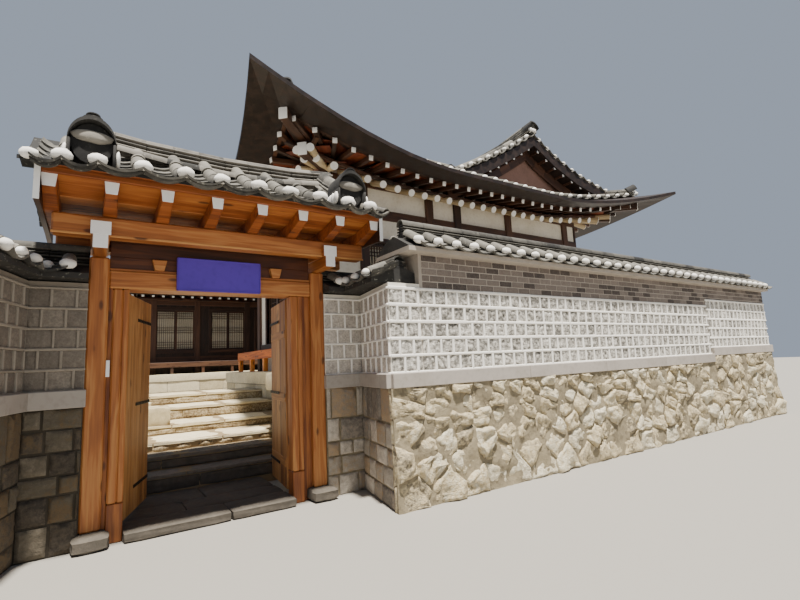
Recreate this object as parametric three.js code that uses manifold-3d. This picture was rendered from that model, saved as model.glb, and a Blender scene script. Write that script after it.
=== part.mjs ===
// Hanok house: street gate with two timber door leaves, stone and block property wall,
// steps up to the yard, and a U-shaped tiled house on a stone podium behind the wall.
// Millimetres, +Z up. The origin is on the ground at the middle of the gate, in the front
// face of its posts. +X runs along the street, +Y runs into the property.
import * as THREE from 'three';
import { mergeVertices } from 'three/addons/utils/BufferGeometryUtils.js';
import Module from 'manifold-3d';

const wasm = await Module();
wasm.setup();

// Fits
const GAP = 0.3;

// Gate: plan of the posts and the doorway
const POST_SIZE = 150;
const POST_LEFT_X = -1100;
const POST_RIGHT_X = 913;
const JAMB_WIDTH = 156;
const JAMB_SETBACK = 15;
const GATE_MID_Y = POST_SIZE / 2;
const SLAB_TOP = 90;
const SLAB_FRONT_Y = -100;
const BASE_STONE_TOP = 120;
const BASE_STONE_FRONT_Y = -150;
const BASE_STONE_BACK_Y = 300;
const BASE_STONE_OUT = 44;

// Gate: heights of the frame
const LINTEL_Z = [2120, 2280];
const LINTEL_Y = [10, 260];
const PANEL_Y = [50, 90];
const CROSS_BEAM_Z = [2390, 2500, 2610];
const CROSS_BEAM_WIDTH = [100, 140];
const CROSS_BEAM_REACH = 425;
const CROSS_BEAM_X = [-1030, 995];
const EAVE_PURLIN_REACH = [205, 355];
const EAVE_PURLIN_TOP = 2670;
const EAVE_PURLIN_LEFT_X = -1363;

// Gate: rafters and roof
const RAFTER_COUNT = 8;
const RAFTER_FIRST_X = -1362;
const RAFTER_PITCH = 391;
const RAFTER_WIDTH = 95;
const RAFTER_DEPTH = 120;
const RAFTER_REACH = 690;
const RAFTER_TURN_REACH = 370;
const RAFTER_END_Z = [2755, 2850];
const SOFFIT_THICKNESS = 22;
const FASCIA_HEIGHT = 60;
const FASCIA_DEPTH = 40;
const ROOF_REACH = 875;
const ROOF_X = [-1530, 1430];
const ROOF_LIP_TOP = 2885;
const ROOF_LIP_DEPTH = 30;
const ROOF_TILE_DEPTH = 100;
const ROOF_RIDGE_TOP = 3400;
const ROOF_SAG = 55;
const ROOF_CURVE_STEPS = 6;
const RIDGE_STACK_HALF_WIDTH = 95;
const RIDGE_STACK_TOP = 3560;
const VERGE_RIDGE_WIDTH = 210;
const VERGE_RIDGE_HEIGHT = 190;
const VERGE_RIDGE_REACH = 640;
const VERGE_RIDGE_X = [-1115, 1050];
const VERGE_BOARD_THICKNESS = 35;
const VERGE_BOARD_FOOT = [2650, 2650, 2633];

// Gate: sign and door leaves
const SIGN_X = [-420, 355];
const SIGN_THICKNESS = 45;
const SIGN_Z = [2120, 2430];
const LEAF_WIDTH = 742;
const LEAF_THICKNESS = 42;
const LEAF_Z = [112, 2100];
const LEAF_PIVOT_Y = 202;
const LEAF_PIVOT_X = [-800, 700];
const LEAF_REST_ANGLE = [71, 83];
const PIVOT_RADIUS = 16;
const PIVOT_INSET = 22;

// Property wall
const WALL_BAND_BOTTOM = 1120;
const LOW_WALL_TOP = 2150;
const TALL_WALL_TOP = 2560;
const RECESS_WALL_DEPTH = 350;
const STREET_FACE_Y = -900;
const STREET_WALL_DEPTH = 400;
const RIGHT_INNER_X = 1520;
const RIGHT_CORNER_X = 1340;
const TALL_WALL_X = [1720, 10540];
const LEFT_INNER_X = -1500;
const LEFT_CORNER_X = -1750;
const LEFT_RETURN_DEPTH = 330;
const LEFT_STUB_X = -3200;
const BAND_STEP_X = 7950;
const BAND_STEP = 110;
const COPING_HALF_WIDTH = 330;
const COPING_EAVE = 60;
const COPING_RISE = 110;
const COPING_RIDGE_HALF_WIDTH = 75;
const COPING_RIDGE = 115;

// Steps up to the yard
const STEP_LEFT_X = -950;
const STEP_RISERS = [
  { y: 1150, top: 270 },
  { y: 1450, top: 420 },
  { y: 1800, top: 530 },
  { y: 2550, top: 650 },
  { y: 3350, top: 830 },
  { y: 4200, top: 980 },
];
const STEP_END_Y = 5400;
const PIER_X = [-950, -330];
const PIER_Y = [2900, 3340];
const PIER_TOP = 960;

// House: plan of the walls
const HOUSE_WALL = 200;
const FRONT_Y = 2750;
const FRONT_WING_WEST_X = 2350;
const FRONT_WING_BACK_Y = 6600;
const EAST_WING_WEST_X = 5500;
const HOUSE_EAST_X = 9600;
const REAR_WING_FRONT_Y = 13500;
const HOUSE_BACK_Y = 16300;
const REAR_WING_WEST_X = 0;

// House: levels
const PODIUM_TOP = 1300;
const FLOOR_TOP = 1750;
const MAIN_EAVE_Z = 4780;
const REAR_EAVE_Z = 4100;

// House: podium outline
const PODIUM_FRONT_Y = 1500;
const PODIUM_EAST_X = 10300;
const PODIUM_BACK_Y = 17000;
const PODIUM_REAR_WEST_X = -700;
const PODIUM_REAR_FRONT_Y = 12700;
const PODIUM_COURT_X = 4800;
const PODIUM_COURT_Y = 7300;
const PODIUM_WEST = [
  [1750, PODIUM_COURT_Y],
  [1650, 3500],
  [990, PODIUM_FRONT_Y],
];

// House: roofs
const ROOF_SLOPE = 0.36;
const ROOF_STEEPEN = 0.0000476;
const ROOF_EDGE_THICKNESS = 70;
const ROOF_THICKNESS = 230;
const ROOF_THICKEN_RUN = 700;
const EAVE_FRONT_Y = 1360;
const FRONT_RIDGE_Y = 4660;
const EAVE_WEST_X = 1000;
const EAST_RIDGE_X = 7500;
const EAST_HALF_SPAN = 3350;
const FRONT_GABLE_Y = 2450;
const WEST_GABLE_X = 2100;
const VERGE_OVERHANG = 350;
const GABLE_THICKNESS = 100;
const SKIRT_TUCK = 150;
const EAVE_TRIM = 60;
const SKIRT_CLEAR = 40;
const NORTH_VERGE_Y = 16900;
const REAR_RIDGE_Y = 14900;
const REAR_HALF_SPAN = 2400;
const REAR_VERGE_X = -500;
const CORNER_LIFT = 620;
const CORNER_PULL = 500;
const CORNER_RUN = 3600;
const ROOF_GRID = 430;
const SLOPE_GRID = 800;
const TILE_ROW_PITCH = 300;
const TILE_ROW_HALF_FOOT = 66;
const TILE_ROW_HALF_CROWN = 34;
const TILE_ROW_HEIGHT = 92;
const TILE_ROW_SINK = 8;
const TILE_ROW_INSET = 490;
const REAR_TILE_ROW_INSET = 60;
const FRONT_TILE_ROWS_X = [1900, 7000];
const EAST_TILE_ROWS_Y = [2250, 16650];
const REAR_TILE_ROWS_X = [-350, 4750];
const HOUSE_RIDGE_HALF_WIDTH = 140;
const HOUSE_RIDGE_HEIGHT = 250;
const HOUSE_RIDGE_END_RISE = 160;
const HOUSE_RIDGE_END_RUN = 1400;
const SKY = 9000;

// House: verandas
const VERANDA_BOARD = 60;
const VERANDA_BEAM = 120;
const VERANDA_POST = 110;
const WEST_VERANDA = { x: [1900, 2349.7], y: [3000, 6900], top: 1740 };
const REAR_VERANDA = { x: [200, 5300], y: [12900, 13499.7], top: 1700 };

// House: door and window openings, [start, end, bottom, top] along each wall
const DOOR_Z = [FLOOR_TOP, 3700];
const WINDOW_Z = [2450, 3650];
const LOW_DOOR_Z = [2130, 3570];
const OPENINGS = {
  street: [[3250, 4650], [5600, 7000], [7700, 9100]],
  west: [[3200, 4400], [4800, 6000]],
  courtFront: [[3100, 4900]],
  courtEast: [[7200, 8800], [9300, 10900], [11400, 13000]],
  courtRear: [[800, 2050], [2620, 3850], [4300, 5300]],
  east: [[3800, 5200], [7000, 8400], [10200, 11600], [13600, 15000]],
  north: [[1200, 2400], [3600, 4800], [7200, 8600]],
};

// Colours
const TIMBER = { color: 0xa9602c, roughness: 0.7, metalness: 0 };
const DARK_TIMBER = { color: 0x4f3020, roughness: 0.75, metalness: 0 };
const TILE = { color: 0x5f6062, roughness: 0.85, metalness: 0 };
const GRANITE = { color: 0xb9b2a6, roughness: 0.9, metalness: 0 };
const RUBBLE = { color: 0xa39a8b, roughness: 0.95, metalness: 0 };
const BLOCK = { color: 0x9b9891, roughness: 0.9, metalness: 0 };
const PLASTER = { color: 0xd9d3c6, roughness: 0.9, metalness: 0 };
const SIGN_BLUE = { color: 0x4b3490, roughness: 0.5, metalness: 0 };

const model = new THREE.Group();

function addPart(name, geometry, finish) {
  const mesh = new THREE.Mesh(geometry, new THREE.MeshStandardMaterial(finish));
  mesh.name = name;
  model.add(mesh);
  return mesh;
}

// Boxes and prisms

function box(x, y, z) {
  const geometry = new THREE.BoxGeometry(x[1] - x[0], y[1] - y[0], z[1] - z[0]);
  geometry.translate((x[0] + x[1]) / 2, (y[0] + y[1]) / 2, (z[0] + z[1]) / 2);
  return geometry;
}

function shapeOf(points) {
  return new THREE.Shape(points.map(([a, b]) => new THREE.Vector2(a, b)));
}

// Plan outline in X and Y, raised from z[0] to z[1]
function prism(points, z) {
  const geometry = new THREE.ExtrudeGeometry(shapeOf(points), { depth: z[1] - z[0], bevelEnabled: false });
  geometry.translate(0, 0, z[0]);
  return geometry;
}

// Section in Y and Z, run along X
function runAlongX(points, x) {
  const geometry = new THREE.ExtrudeGeometry(shapeOf(points), { depth: x[1] - x[0], bevelEnabled: false });
  const axes = new THREE.Matrix4().makeBasis(
    new THREE.Vector3(0, 1, 0),
    new THREE.Vector3(0, 0, 1),
    new THREE.Vector3(1, 0, 0),
  );
  geometry.applyMatrix4(axes);
  geometry.translate(x[0], 0, 0);
  return geometry;
}

// Section in X and Z, run along Y
function runAlongY(points, y) {
  const geometry = new THREE.ExtrudeGeometry(shapeOf(points), { depth: y[1] - y[0], bevelEnabled: false });
  const axes = new THREE.Matrix4().makeBasis(
    new THREE.Vector3(1, 0, 0),
    new THREE.Vector3(0, 0, 1),
    new THREE.Vector3(0, -1, 0),
  );
  geometry.applyMatrix4(axes);
  geometry.translate(0, y[1], 0);
  return geometry;
}

// Joins and cuts

function solid(geometry) {
  const bare = geometry.clone();
  bare.deleteAttribute('normal');
  bare.deleteAttribute('uv');
  const merged = mergeVertices(bare, 0.01);
  return new wasm.Manifold(new wasm.Mesh({
    numProp: 3,
    vertProperties: new Float32Array(merged.attributes.position.array),
    triVerts: new Uint32Array(merged.index.array),
  }));
}

function geometryOf(manifold) {
  const mesh = manifold.getMesh();
  const geometry = new THREE.BufferGeometry();
  geometry.setAttribute('position', new THREE.BufferAttribute(new Float32Array(mesh.vertProperties), 3));
  geometry.setIndex(new THREE.BufferAttribute(new Uint32Array(mesh.triVerts), 1));
  geometry.computeVertexNormals();
  return geometry;
}

function join(geometries) {
  return geometries.map(solid).reduce((sum, next) => sum.add(next));
}

function cut(body, tools) {
  return tools.reduce((rest, tool) => rest.subtract(tool), body);
}

// Closed shell between two height functions over a grid of plan lines.
// place moves a plan point, so that an eave can bow outwards.
function gridSheet(xs, ys, topOf, bottomOf, place = (x, y) => [x, y]) {
  const positions = [];
  const rows = ys.length;
  const layer = xs.length * rows;
  for (const heightOf of [topOf, bottomOf]) {
    for (const x of xs) {
      for (const y of ys) {
        positions.push(...place(x, y), heightOf(x, y));
      }
    }
  }
  const at = (i, j) => i * rows + j;
  const index = [];
  for (let i = 0; i + 1 < xs.length; i += 1) {
    for (let j = 0; j + 1 < ys.length; j += 1) {
      const [a, b, c, d] = [at(i, j), at(i + 1, j), at(i + 1, j + 1), at(i, j + 1)];
      const middle = topOf((xs[i] + xs[i + 1]) / 2, (ys[j] + ys[j + 1]) / 2);
      const alongAC = Math.abs((positions[3 * a + 2] + positions[3 * c + 2]) / 2 - middle);
      const alongBD = Math.abs((positions[3 * b + 2] + positions[3 * d + 2]) / 2 - middle);
      const faces = alongAC <= alongBD ? [[a, b, c], [a, c, d]] : [[a, b, d], [b, c, d]];
      for (const [p, q, r] of faces) {
        index.push(p, q, r, p + layer, r + layer, q + layer);
      }
    }
  }
  const rim = [];
  for (let i = 0; i + 1 < xs.length; i += 1) {
    rim.push([at(i, 0), at(i + 1, 0)], [at(i + 1, rows - 1), at(i, rows - 1)]);
  }
  for (let j = 0; j + 1 < rows; j += 1) {
    rim.push([at(xs.length - 1, j), at(xs.length - 1, j + 1)], [at(0, j + 1), at(0, j)]);
  }
  for (const [p, q] of rim) {
    index.push(p, p + layer, q + layer, p, q + layer, q);
  }
  const geometry = new THREE.BufferGeometry();
  geometry.setAttribute('position', new THREE.BufferAttribute(new Float32Array(positions), 3));
  geometry.setIndex(index);
  geometry.computeVertexNormals();
  return geometry;
}

// Even plan lines from one value to another, no further apart than step
function lines(from, to, step = ROOF_GRID) {
  const count = Math.max(1, Math.ceil((to - from) / step));
  return Array.from({ length: count + 1 }, (_, i) => from + ((to - from) * i) / count);
}

// Section [offset, height] swept along a plan path with mitred corners.
// A positive offset lies to the left of the path.
function sweepPlan(path, outline) {
  const contour = outline.map(([a, b]) => new THREE.Vector2(a, b));
  const clockwise = THREE.ShapeUtils.isClockWise(contour);
  const section = clockwise ? [...outline].reverse() : outline;
  if (clockwise) {
    contour.reverse();
  }
  const directions = path.slice(1).map((p, i) => {
    const d = [p[0] - path[i][0], p[1] - path[i][1]];
    const length = Math.hypot(...d);
    return [d[0] / length, d[1] / length];
  });
  const positions = [];
  path.forEach((p, i) => {
    const before = directions[Math.max(0, i - 1)];
    const after = directions[Math.min(directions.length - 1, i)];
    const sum = [before[0] + after[0], before[1] + after[1]];
    const scale = 2 / (sum[0] * sum[0] + sum[1] * sum[1]);
    const side = [-sum[1] * scale, sum[0] * scale];
    for (const [offset, height] of section) {
      positions.push(p[0] + side[0] * offset, p[1] + side[1] * offset, height);
    }
  });
  const count = section.length;
  const caps = THREE.ShapeUtils.triangulateShape(contour, []);
  const last = (path.length - 1) * count;
  const index = [];
  for (const [a, b, c] of caps) {
    index.push(a, c, b, last + a, last + b, last + c);
  }
  for (let i = 0; i + 1 < path.length; i += 1) {
    for (let k = 0; k < count; k += 1) {
      const next = (k + 1) % count;
      const [a, b] = [i * count + k, i * count + next];
      index.push(a, b, b + count, a, b + count, a + count);
    }
  }
  const geometry = new THREE.BufferGeometry();
  geometry.setAttribute('position', new THREE.BufferAttribute(new Float32Array(positions), 3));
  geometry.setIndex(index);
  if (signedVolume(geometry) < 0) {
    for (let i = 0; i < index.length; i += 3) {
      [index[i + 1], index[i + 2]] = [index[i + 2], index[i + 1]];
    }
    geometry.setIndex(index);
  }
  geometry.computeVertexNormals();
  return geometry;
}

function signedVolume(geometry) {
  const p = geometry.attributes.position;
  const index = geometry.index.array;
  const corner = [new THREE.Vector3(), new THREE.Vector3(), new THREE.Vector3()];
  let volume = 0;
  for (let i = 0; i < index.length; i += 3) {
    corner.forEach((v, k) => v.fromBufferAttribute(p, index[i + k]));
    volume += corner[0].dot(corner[1].clone().cross(corner[2])) / 6;
  }
  return volume;
}

// Gate frame

function addGateFrame() {
  const postRightEdge = POST_LEFT_X + POST_SIZE;
  const jambLeft = [postRightEdge + GAP, postRightEdge + GAP + JAMB_WIDTH];
  const jambRight = [POST_RIGHT_X - GAP - JAMB_WIDTH - 64, POST_RIGHT_X - GAP - 64];
  const between = [postRightEdge + GAP, POST_RIGHT_X - GAP];
  const postZ = [BASE_STONE_TOP + GAP, CROSS_BEAM_Z[0] - GAP];
  const jambY = [JAMB_SETBACK, JAMB_SETBACK + POST_SIZE];

  addPart('gate_threshold', box([jambLeft[1] + GAP, jambRight[0] - GAP],
    [SLAB_FRONT_Y, STEP_RISERS[0].y - GAP], [0, SLAB_TOP]), GRANITE);

  const stoneLeft = [
    [POST_LEFT_X - BASE_STONE_OUT, BASE_STONE_FRONT_Y],
    [POST_LEFT_X + POST_SIZE + 64, BASE_STONE_FRONT_Y],
    [POST_LEFT_X + POST_SIZE + 64, -5],
    [POST_LEFT_X + POST_SIZE, -5],
    [POST_LEFT_X + POST_SIZE, BASE_STONE_BACK_Y],
    [POST_LEFT_X, BASE_STONE_BACK_Y],
    [POST_LEFT_X, -5],
    [POST_LEFT_X - BASE_STONE_OUT, -5],
  ];
  const stoneRight = [
    [POST_RIGHT_X - 60, BASE_STONE_FRONT_Y],
    [POST_RIGHT_X + POST_SIZE + BASE_STONE_OUT + 20, BASE_STONE_FRONT_Y],
    [POST_RIGHT_X + POST_SIZE + BASE_STONE_OUT + 20, -5],
    [POST_RIGHT_X + POST_SIZE, -5],
    [POST_RIGHT_X + POST_SIZE, BASE_STONE_BACK_Y],
    [POST_RIGHT_X - 60, BASE_STONE_BACK_Y],
  ];
  addPart('base_stone_left', prism(stoneLeft, [0, BASE_STONE_TOP]), GRANITE);
  addPart('base_stone_right', prism(stoneRight, [0, BASE_STONE_TOP]), GRANITE);

  addPart('gate_post_left', box([POST_LEFT_X, postRightEdge], [0, POST_SIZE], postZ), TIMBER);
  addPart('gate_post_right', box([POST_RIGHT_X, POST_RIGHT_X + POST_SIZE], [0, POST_SIZE], postZ), TIMBER);
  addPart('door_jamb_left', box(jambLeft, jambY, [0, LINTEL_Z[0] - GAP]), TIMBER);
  addPart('door_jamb_right', box(jambRight, jambY, [0, LINTEL_Z[0] - GAP]), TIMBER);
  addPart('gate_lintel', box(between, LINTEL_Y, LINTEL_Z), TIMBER);
  addPart('head_panel', box(between, PANEL_Y, [LINTEL_Z[1] + GAP, EAVE_PURLIN_TOP]), DARK_TIMBER);
  const signY = [LINTEL_Y[0] - GAP - SIGN_THICKNESS, LINTEL_Y[0] - GAP];
  addPart('sign_board', box(SIGN_X, signY, SIGN_Z), SIGN_BLUE);
}

// Cross beam over a post: narrow below, wide above, notched for the two eave purlins
function crossBeam(x) {
  const y = [GATE_MID_Y - CROSS_BEAM_REACH, GATE_MID_Y + CROSS_BEAM_REACH];
  const [low, step, top] = CROSS_BEAM_Z;
  const [narrow, wide] = CROSS_BEAM_WIDTH.map((w) => w / 2);
  const section = [
    [x - narrow, low], [x + narrow, low], [x + narrow, step], [x + wide, step],
    [x + wide, top], [x - wide, top], [x - wide, step], [x - narrow, step],
  ];
  const notches = [-1, 1].map((side) => {
    const [near, far] = purlinSpan(side);
    return solid(box([x - wide - 10, x + wide + 10], [near - GAP, far + GAP], [step - GAP, top + 10]));
  });
  return geometryOf(cut(solid(runAlongY(section, y)), notches));
}

// Y range of an eave purlin: side is -1 on the street side and 1 on the yard side
function purlinSpan(side) {
  return EAVE_PURLIN_REACH.map((reach) => GATE_MID_Y + side * reach).sort((a, b) => a - b);
}

function addGateBeams() {
  addPart('cross_beam_left', crossBeam(CROSS_BEAM_X[0]), TIMBER);
  addPart('cross_beam_right', crossBeam(CROSS_BEAM_X[1]), TIMBER);
  const purlinZ = [CROSS_BEAM_Z[1], EAVE_PURLIN_TOP];
  const purlinX = [EAVE_PURLIN_LEFT_X, raftersX()[1]];
  addPart('eave_purlin_front', box(purlinX, purlinSpan(-1), purlinZ), TIMBER);
  addPart('eave_purlin_rear', box(purlinX, purlinSpan(1), purlinZ), TIMBER);
}

// Gate rafters and roof. d is the distance from the middle plane of the gate.

// Outer faces of the first and the last rafter
function raftersX() {
  const last = RAFTER_FIRST_X + (RAFTER_COUNT - 1) * RAFTER_PITCH;
  return [RAFTER_FIRST_X - RAFTER_WIDTH / 2, last + RAFTER_WIDTH / 2];
}

// A rafter lies level over the purlin and its tip turns up
const RAFTER_FOOT = EAVE_PURLIN_TOP + GAP;
const RAFTER_TOP = RAFTER_FOOT + RAFTER_DEPTH;

function gateRoofTop(d) {
  const t = d / ROOF_REACH;
  return ROOF_RIDGE_TOP + (ROOF_LIP_TOP - ROOF_RIDGE_TOP) * t - ROOF_SAG * 4 * t * (1 - t);
}

// side is -1 for the street slope and 1 for the yard slope
function gateRafters(side) {
  const flat = (d) => GATE_MID_Y + side * d;
  const [endFoot, endTop] = RAFTER_END_Z;
  const rafter = [
    [flat(0.5), RAFTER_FOOT], [flat(RAFTER_TURN_REACH), RAFTER_FOOT], [flat(RAFTER_REACH), endFoot],
    [flat(RAFTER_REACH), endTop + 2], [flat(RAFTER_TURN_REACH), RAFTER_TOP + 2], [flat(0.5), RAFTER_TOP + 2],
  ];
  const board = [
    [flat(0.5), RAFTER_TOP], [flat(RAFTER_TURN_REACH), RAFTER_TOP], [flat(RAFTER_REACH), endTop],
    [flat(RAFTER_REACH + FASCIA_DEPTH), endTop],
    [flat(RAFTER_REACH + FASCIA_DEPTH), endTop + FASCIA_HEIGHT],
    [flat(RAFTER_REACH), endTop + FASCIA_HEIGHT], [flat(RAFTER_REACH), endTop + SOFFIT_THICKNESS],
    [flat(RAFTER_TURN_REACH), RAFTER_TOP + SOFFIT_THICKNESS], [flat(0.5), RAFTER_TOP + SOFFIT_THICKNESS],
  ];
  const half = RAFTER_WIDTH / 2;
  const rafters = Array.from({ length: RAFTER_COUNT }, (_, i) => {
    const x = RAFTER_FIRST_X + i * RAFTER_PITCH;
    return runAlongX(rafter, [x - half, x + half]);
  });
  return geometryOf(join([...rafters, runAlongX(board, raftersX())]));
}

// Tile layer over the whole length, on a filling that ends at the outer rafters
function gateRoofSlope(side) {
  const flat = (d) => GATE_MID_Y + side * d;
  const inner = 0.5;
  const steps = lines(inner, ROOF_REACH, ROOF_REACH / ROOF_CURVE_STEPS);
  const fasciaTop = RAFTER_END_Z[1] + FASCIA_HEIGHT + GAP;
  const fasciaReach = RAFTER_REACH + FASCIA_DEPTH;
  const inward = steps.filter((d) => d < RAFTER_REACH).reverse();
  const layer = [
    ...steps.map((d) => [flat(d), gateRoofTop(d)]),
    [flat(ROOF_REACH), ROOF_LIP_TOP - ROOF_LIP_DEPTH],
    [flat(fasciaReach), fasciaTop],
    [flat(RAFTER_REACH - GAP), fasciaTop],
    ...inward.map((d) => [flat(d), gateRoofTop(d) - ROOF_TILE_DEPTH]),
  ];
  const boardTop = RAFTER_TOP + SOFFIT_THICKNESS + GAP;
  const endReach = RAFTER_REACH - GAP;
  const filling = [
    [flat(inner), boardTop], [flat(RAFTER_TURN_REACH), boardTop],
    [flat(endReach), RAFTER_END_Z[1] + SOFFIT_THICKNESS + GAP],
    [flat(endReach), gateRoofTop(endReach) - ROOF_TILE_DEPTH / 2],
    ...inward.map((d) => [flat(d), gateRoofTop(d) - ROOF_TILE_DEPTH / 2]),
  ];
  const body = join([
    runAlongX(layer, ROOF_X),
    runAlongX(filling, raftersX()),
  ]);
  return geometryOf(body);
}

// Descending ridge near one end of the gate roof, over both slopes
function vergeRidge(x) {
  const steps = lines(-VERGE_RIDGE_REACH, VERGE_RIDGE_REACH, VERGE_RIDGE_REACH / 5);
  const top = steps.map((d) => [GATE_MID_Y + d, gateRoofTop(Math.abs(d)) + VERGE_RIDGE_HEIGHT]);
  const foot = [...steps].reverse().map((d) => [GATE_MID_Y + d, gateRoofTop(Math.abs(d)) - 90]);
  const half = VERGE_RIDGE_WIDTH / 2;
  return runAlongX([...top, ...foot], [x - half, x + half]);
}

// Board that closes the end of the gate roof, from the tiles down to the purlins' tops
function vergeBoard(index) {
  const reach = RAFTER_REACH + FASCIA_DEPTH;
  const steps = lines(-reach, reach, reach / 4);
  const top = steps.map((d) => [GATE_MID_Y + d, gateRoofTop(Math.abs(d)) - ROOF_TILE_DEPTH / 2]);
  const [middle, purlin, end] = VERGE_BOARD_FOOT;
  const far = EAVE_PURLIN_REACH[1];
  const foot = [[reach, end], [far, purlin], [0, middle], [-far, purlin], [-reach, end]]
    .map(([d, z]) => [GATE_MID_Y + d, z]);
  const face = raftersX()[index];
  const x = index === 0 ? [face - GAP - VERGE_BOARD_THICKNESS, face - GAP]
    : [face + GAP, face + GAP + VERGE_BOARD_THICKNESS];
  return runAlongX([...top, ...foot], x);
}

function addGateRoof() {
  addPart('gate_rafters_front', gateRafters(-1), TIMBER);
  addPart('gate_rafters_rear', gateRafters(1), TIMBER);
  const slopes = [-1, 1].map((side) => gateRoofSlope(side));
  addPart('gate_roof_front', slopes[0], TILE);
  addPart('gate_roof_rear', slopes[1], TILE);
  const slopeBodies = slopes.map(solid);
  const seats = slopeBodies.flatMap((body) => [body, body.translate([0, 0, GAP])]);
  addPart('verge_ridge_left', geometryOf(cut(solid(vergeRidge(VERGE_RIDGE_X[0])), seats)), TILE);
  addPart('verge_ridge_right', geometryOf(cut(solid(vergeRidge(VERGE_RIDGE_X[1])), seats)), TILE);
  const halfVerge = VERGE_RIDGE_WIDTH / 2 + GAP;
  const ridge = box(
    [VERGE_RIDGE_X[0] + halfVerge, VERGE_RIDGE_X[1] - halfVerge],
    [GATE_MID_Y - RIDGE_STACK_HALF_WIDTH, GATE_MID_Y + RIDGE_STACK_HALF_WIDTH],
    [ROOF_RIDGE_TOP - 100, RIDGE_STACK_TOP],
  );
  addPart('gate_ridge', geometryOf(cut(solid(ridge), seats)), TILE);
  ['verge_board_left', 'verge_board_right'].forEach((name, i) => {
    const clear = slopeBodies.flatMap((body) => [body, body.translate([0, 0, -GAP])]);
    addPart(name, geometryOf(cut(solid(vergeBoard(i)), clear)), DARK_TIMBER);
  });
}

// Door leaf with a round pivot at its foot and its head. It is made closed, then turned
// about its pivot to the open place in which it stands.
function doorLeaf(index) {
  const outward = index === 0 ? 1 : -1;
  const half = LEAF_THICKNESS / 2;
  const x = outward > 0 ? [-PIVOT_INSET, LEAF_WIDTH] : [-LEAF_WIDTH, PIVOT_INSET];
  const leaf = box(x, [-half, half], LEAF_Z);
  const pin = new THREE.CylinderGeometry(PIVOT_RADIUS, PIVOT_RADIUS, LINTEL_Z[0] - SLAB_TOP - 2 * GAP, 16);
  pin.rotateX(Math.PI / 2);
  pin.translate(0, 0, (LINTEL_Z[0] + SLAB_TOP) / 2);
  return geometryOf(join([leaf, pin]));
}

function addDoorLeaves() {
  ['door_leaf_left', 'door_leaf_right'].forEach((name, i) => {
    const leaf = addPart(name, doorLeaf(i), TIMBER);
    leaf.position.set(LEAF_PIVOT_X[i], LEAF_PIVOT_Y, 0);
    const turn = i === 0 ? LEAF_REST_ANGLE[0] : LEAF_REST_ANGLE[1] - 180;
    leaf.rotation.z = THREE.MathUtils.degToRad(turn);
  });
}

// Property wall

// Rubble base and block wall above it, over one plan outline
function wallPair(name, outline, top) {
  addPart(`${name}_base`, prism(outline, [0, WALL_BAND_BOTTOM - GAP]), RUBBLE);
  addPart(name, prism(outline, [WALL_BAND_BOTTOM, top]), BLOCK);
}

// Small tiled roof along the top of a wall. path is its middle line.
function coping(path, base, halfWidth) {
  const section = [
    [-halfWidth, base + COPING_EAVE - 45], [-halfWidth, base + COPING_EAVE],
    [-COPING_RIDGE_HALF_WIDTH, base + COPING_EAVE + COPING_RISE],
    [-COPING_RIDGE_HALF_WIDTH, base + COPING_EAVE + COPING_RISE + COPING_RIDGE],
    [COPING_RIDGE_HALF_WIDTH, base + COPING_EAVE + COPING_RISE + COPING_RIDGE],
    [COPING_RIDGE_HALF_WIDTH, base + COPING_EAVE + COPING_RISE],
    [halfWidth, base + COPING_EAVE], [halfWidth, base + COPING_EAVE - 45],
    [halfWidth - 150, base], [-halfWidth + 150, base],
  ];
  return sweepPlan(path, section);
}

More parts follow.
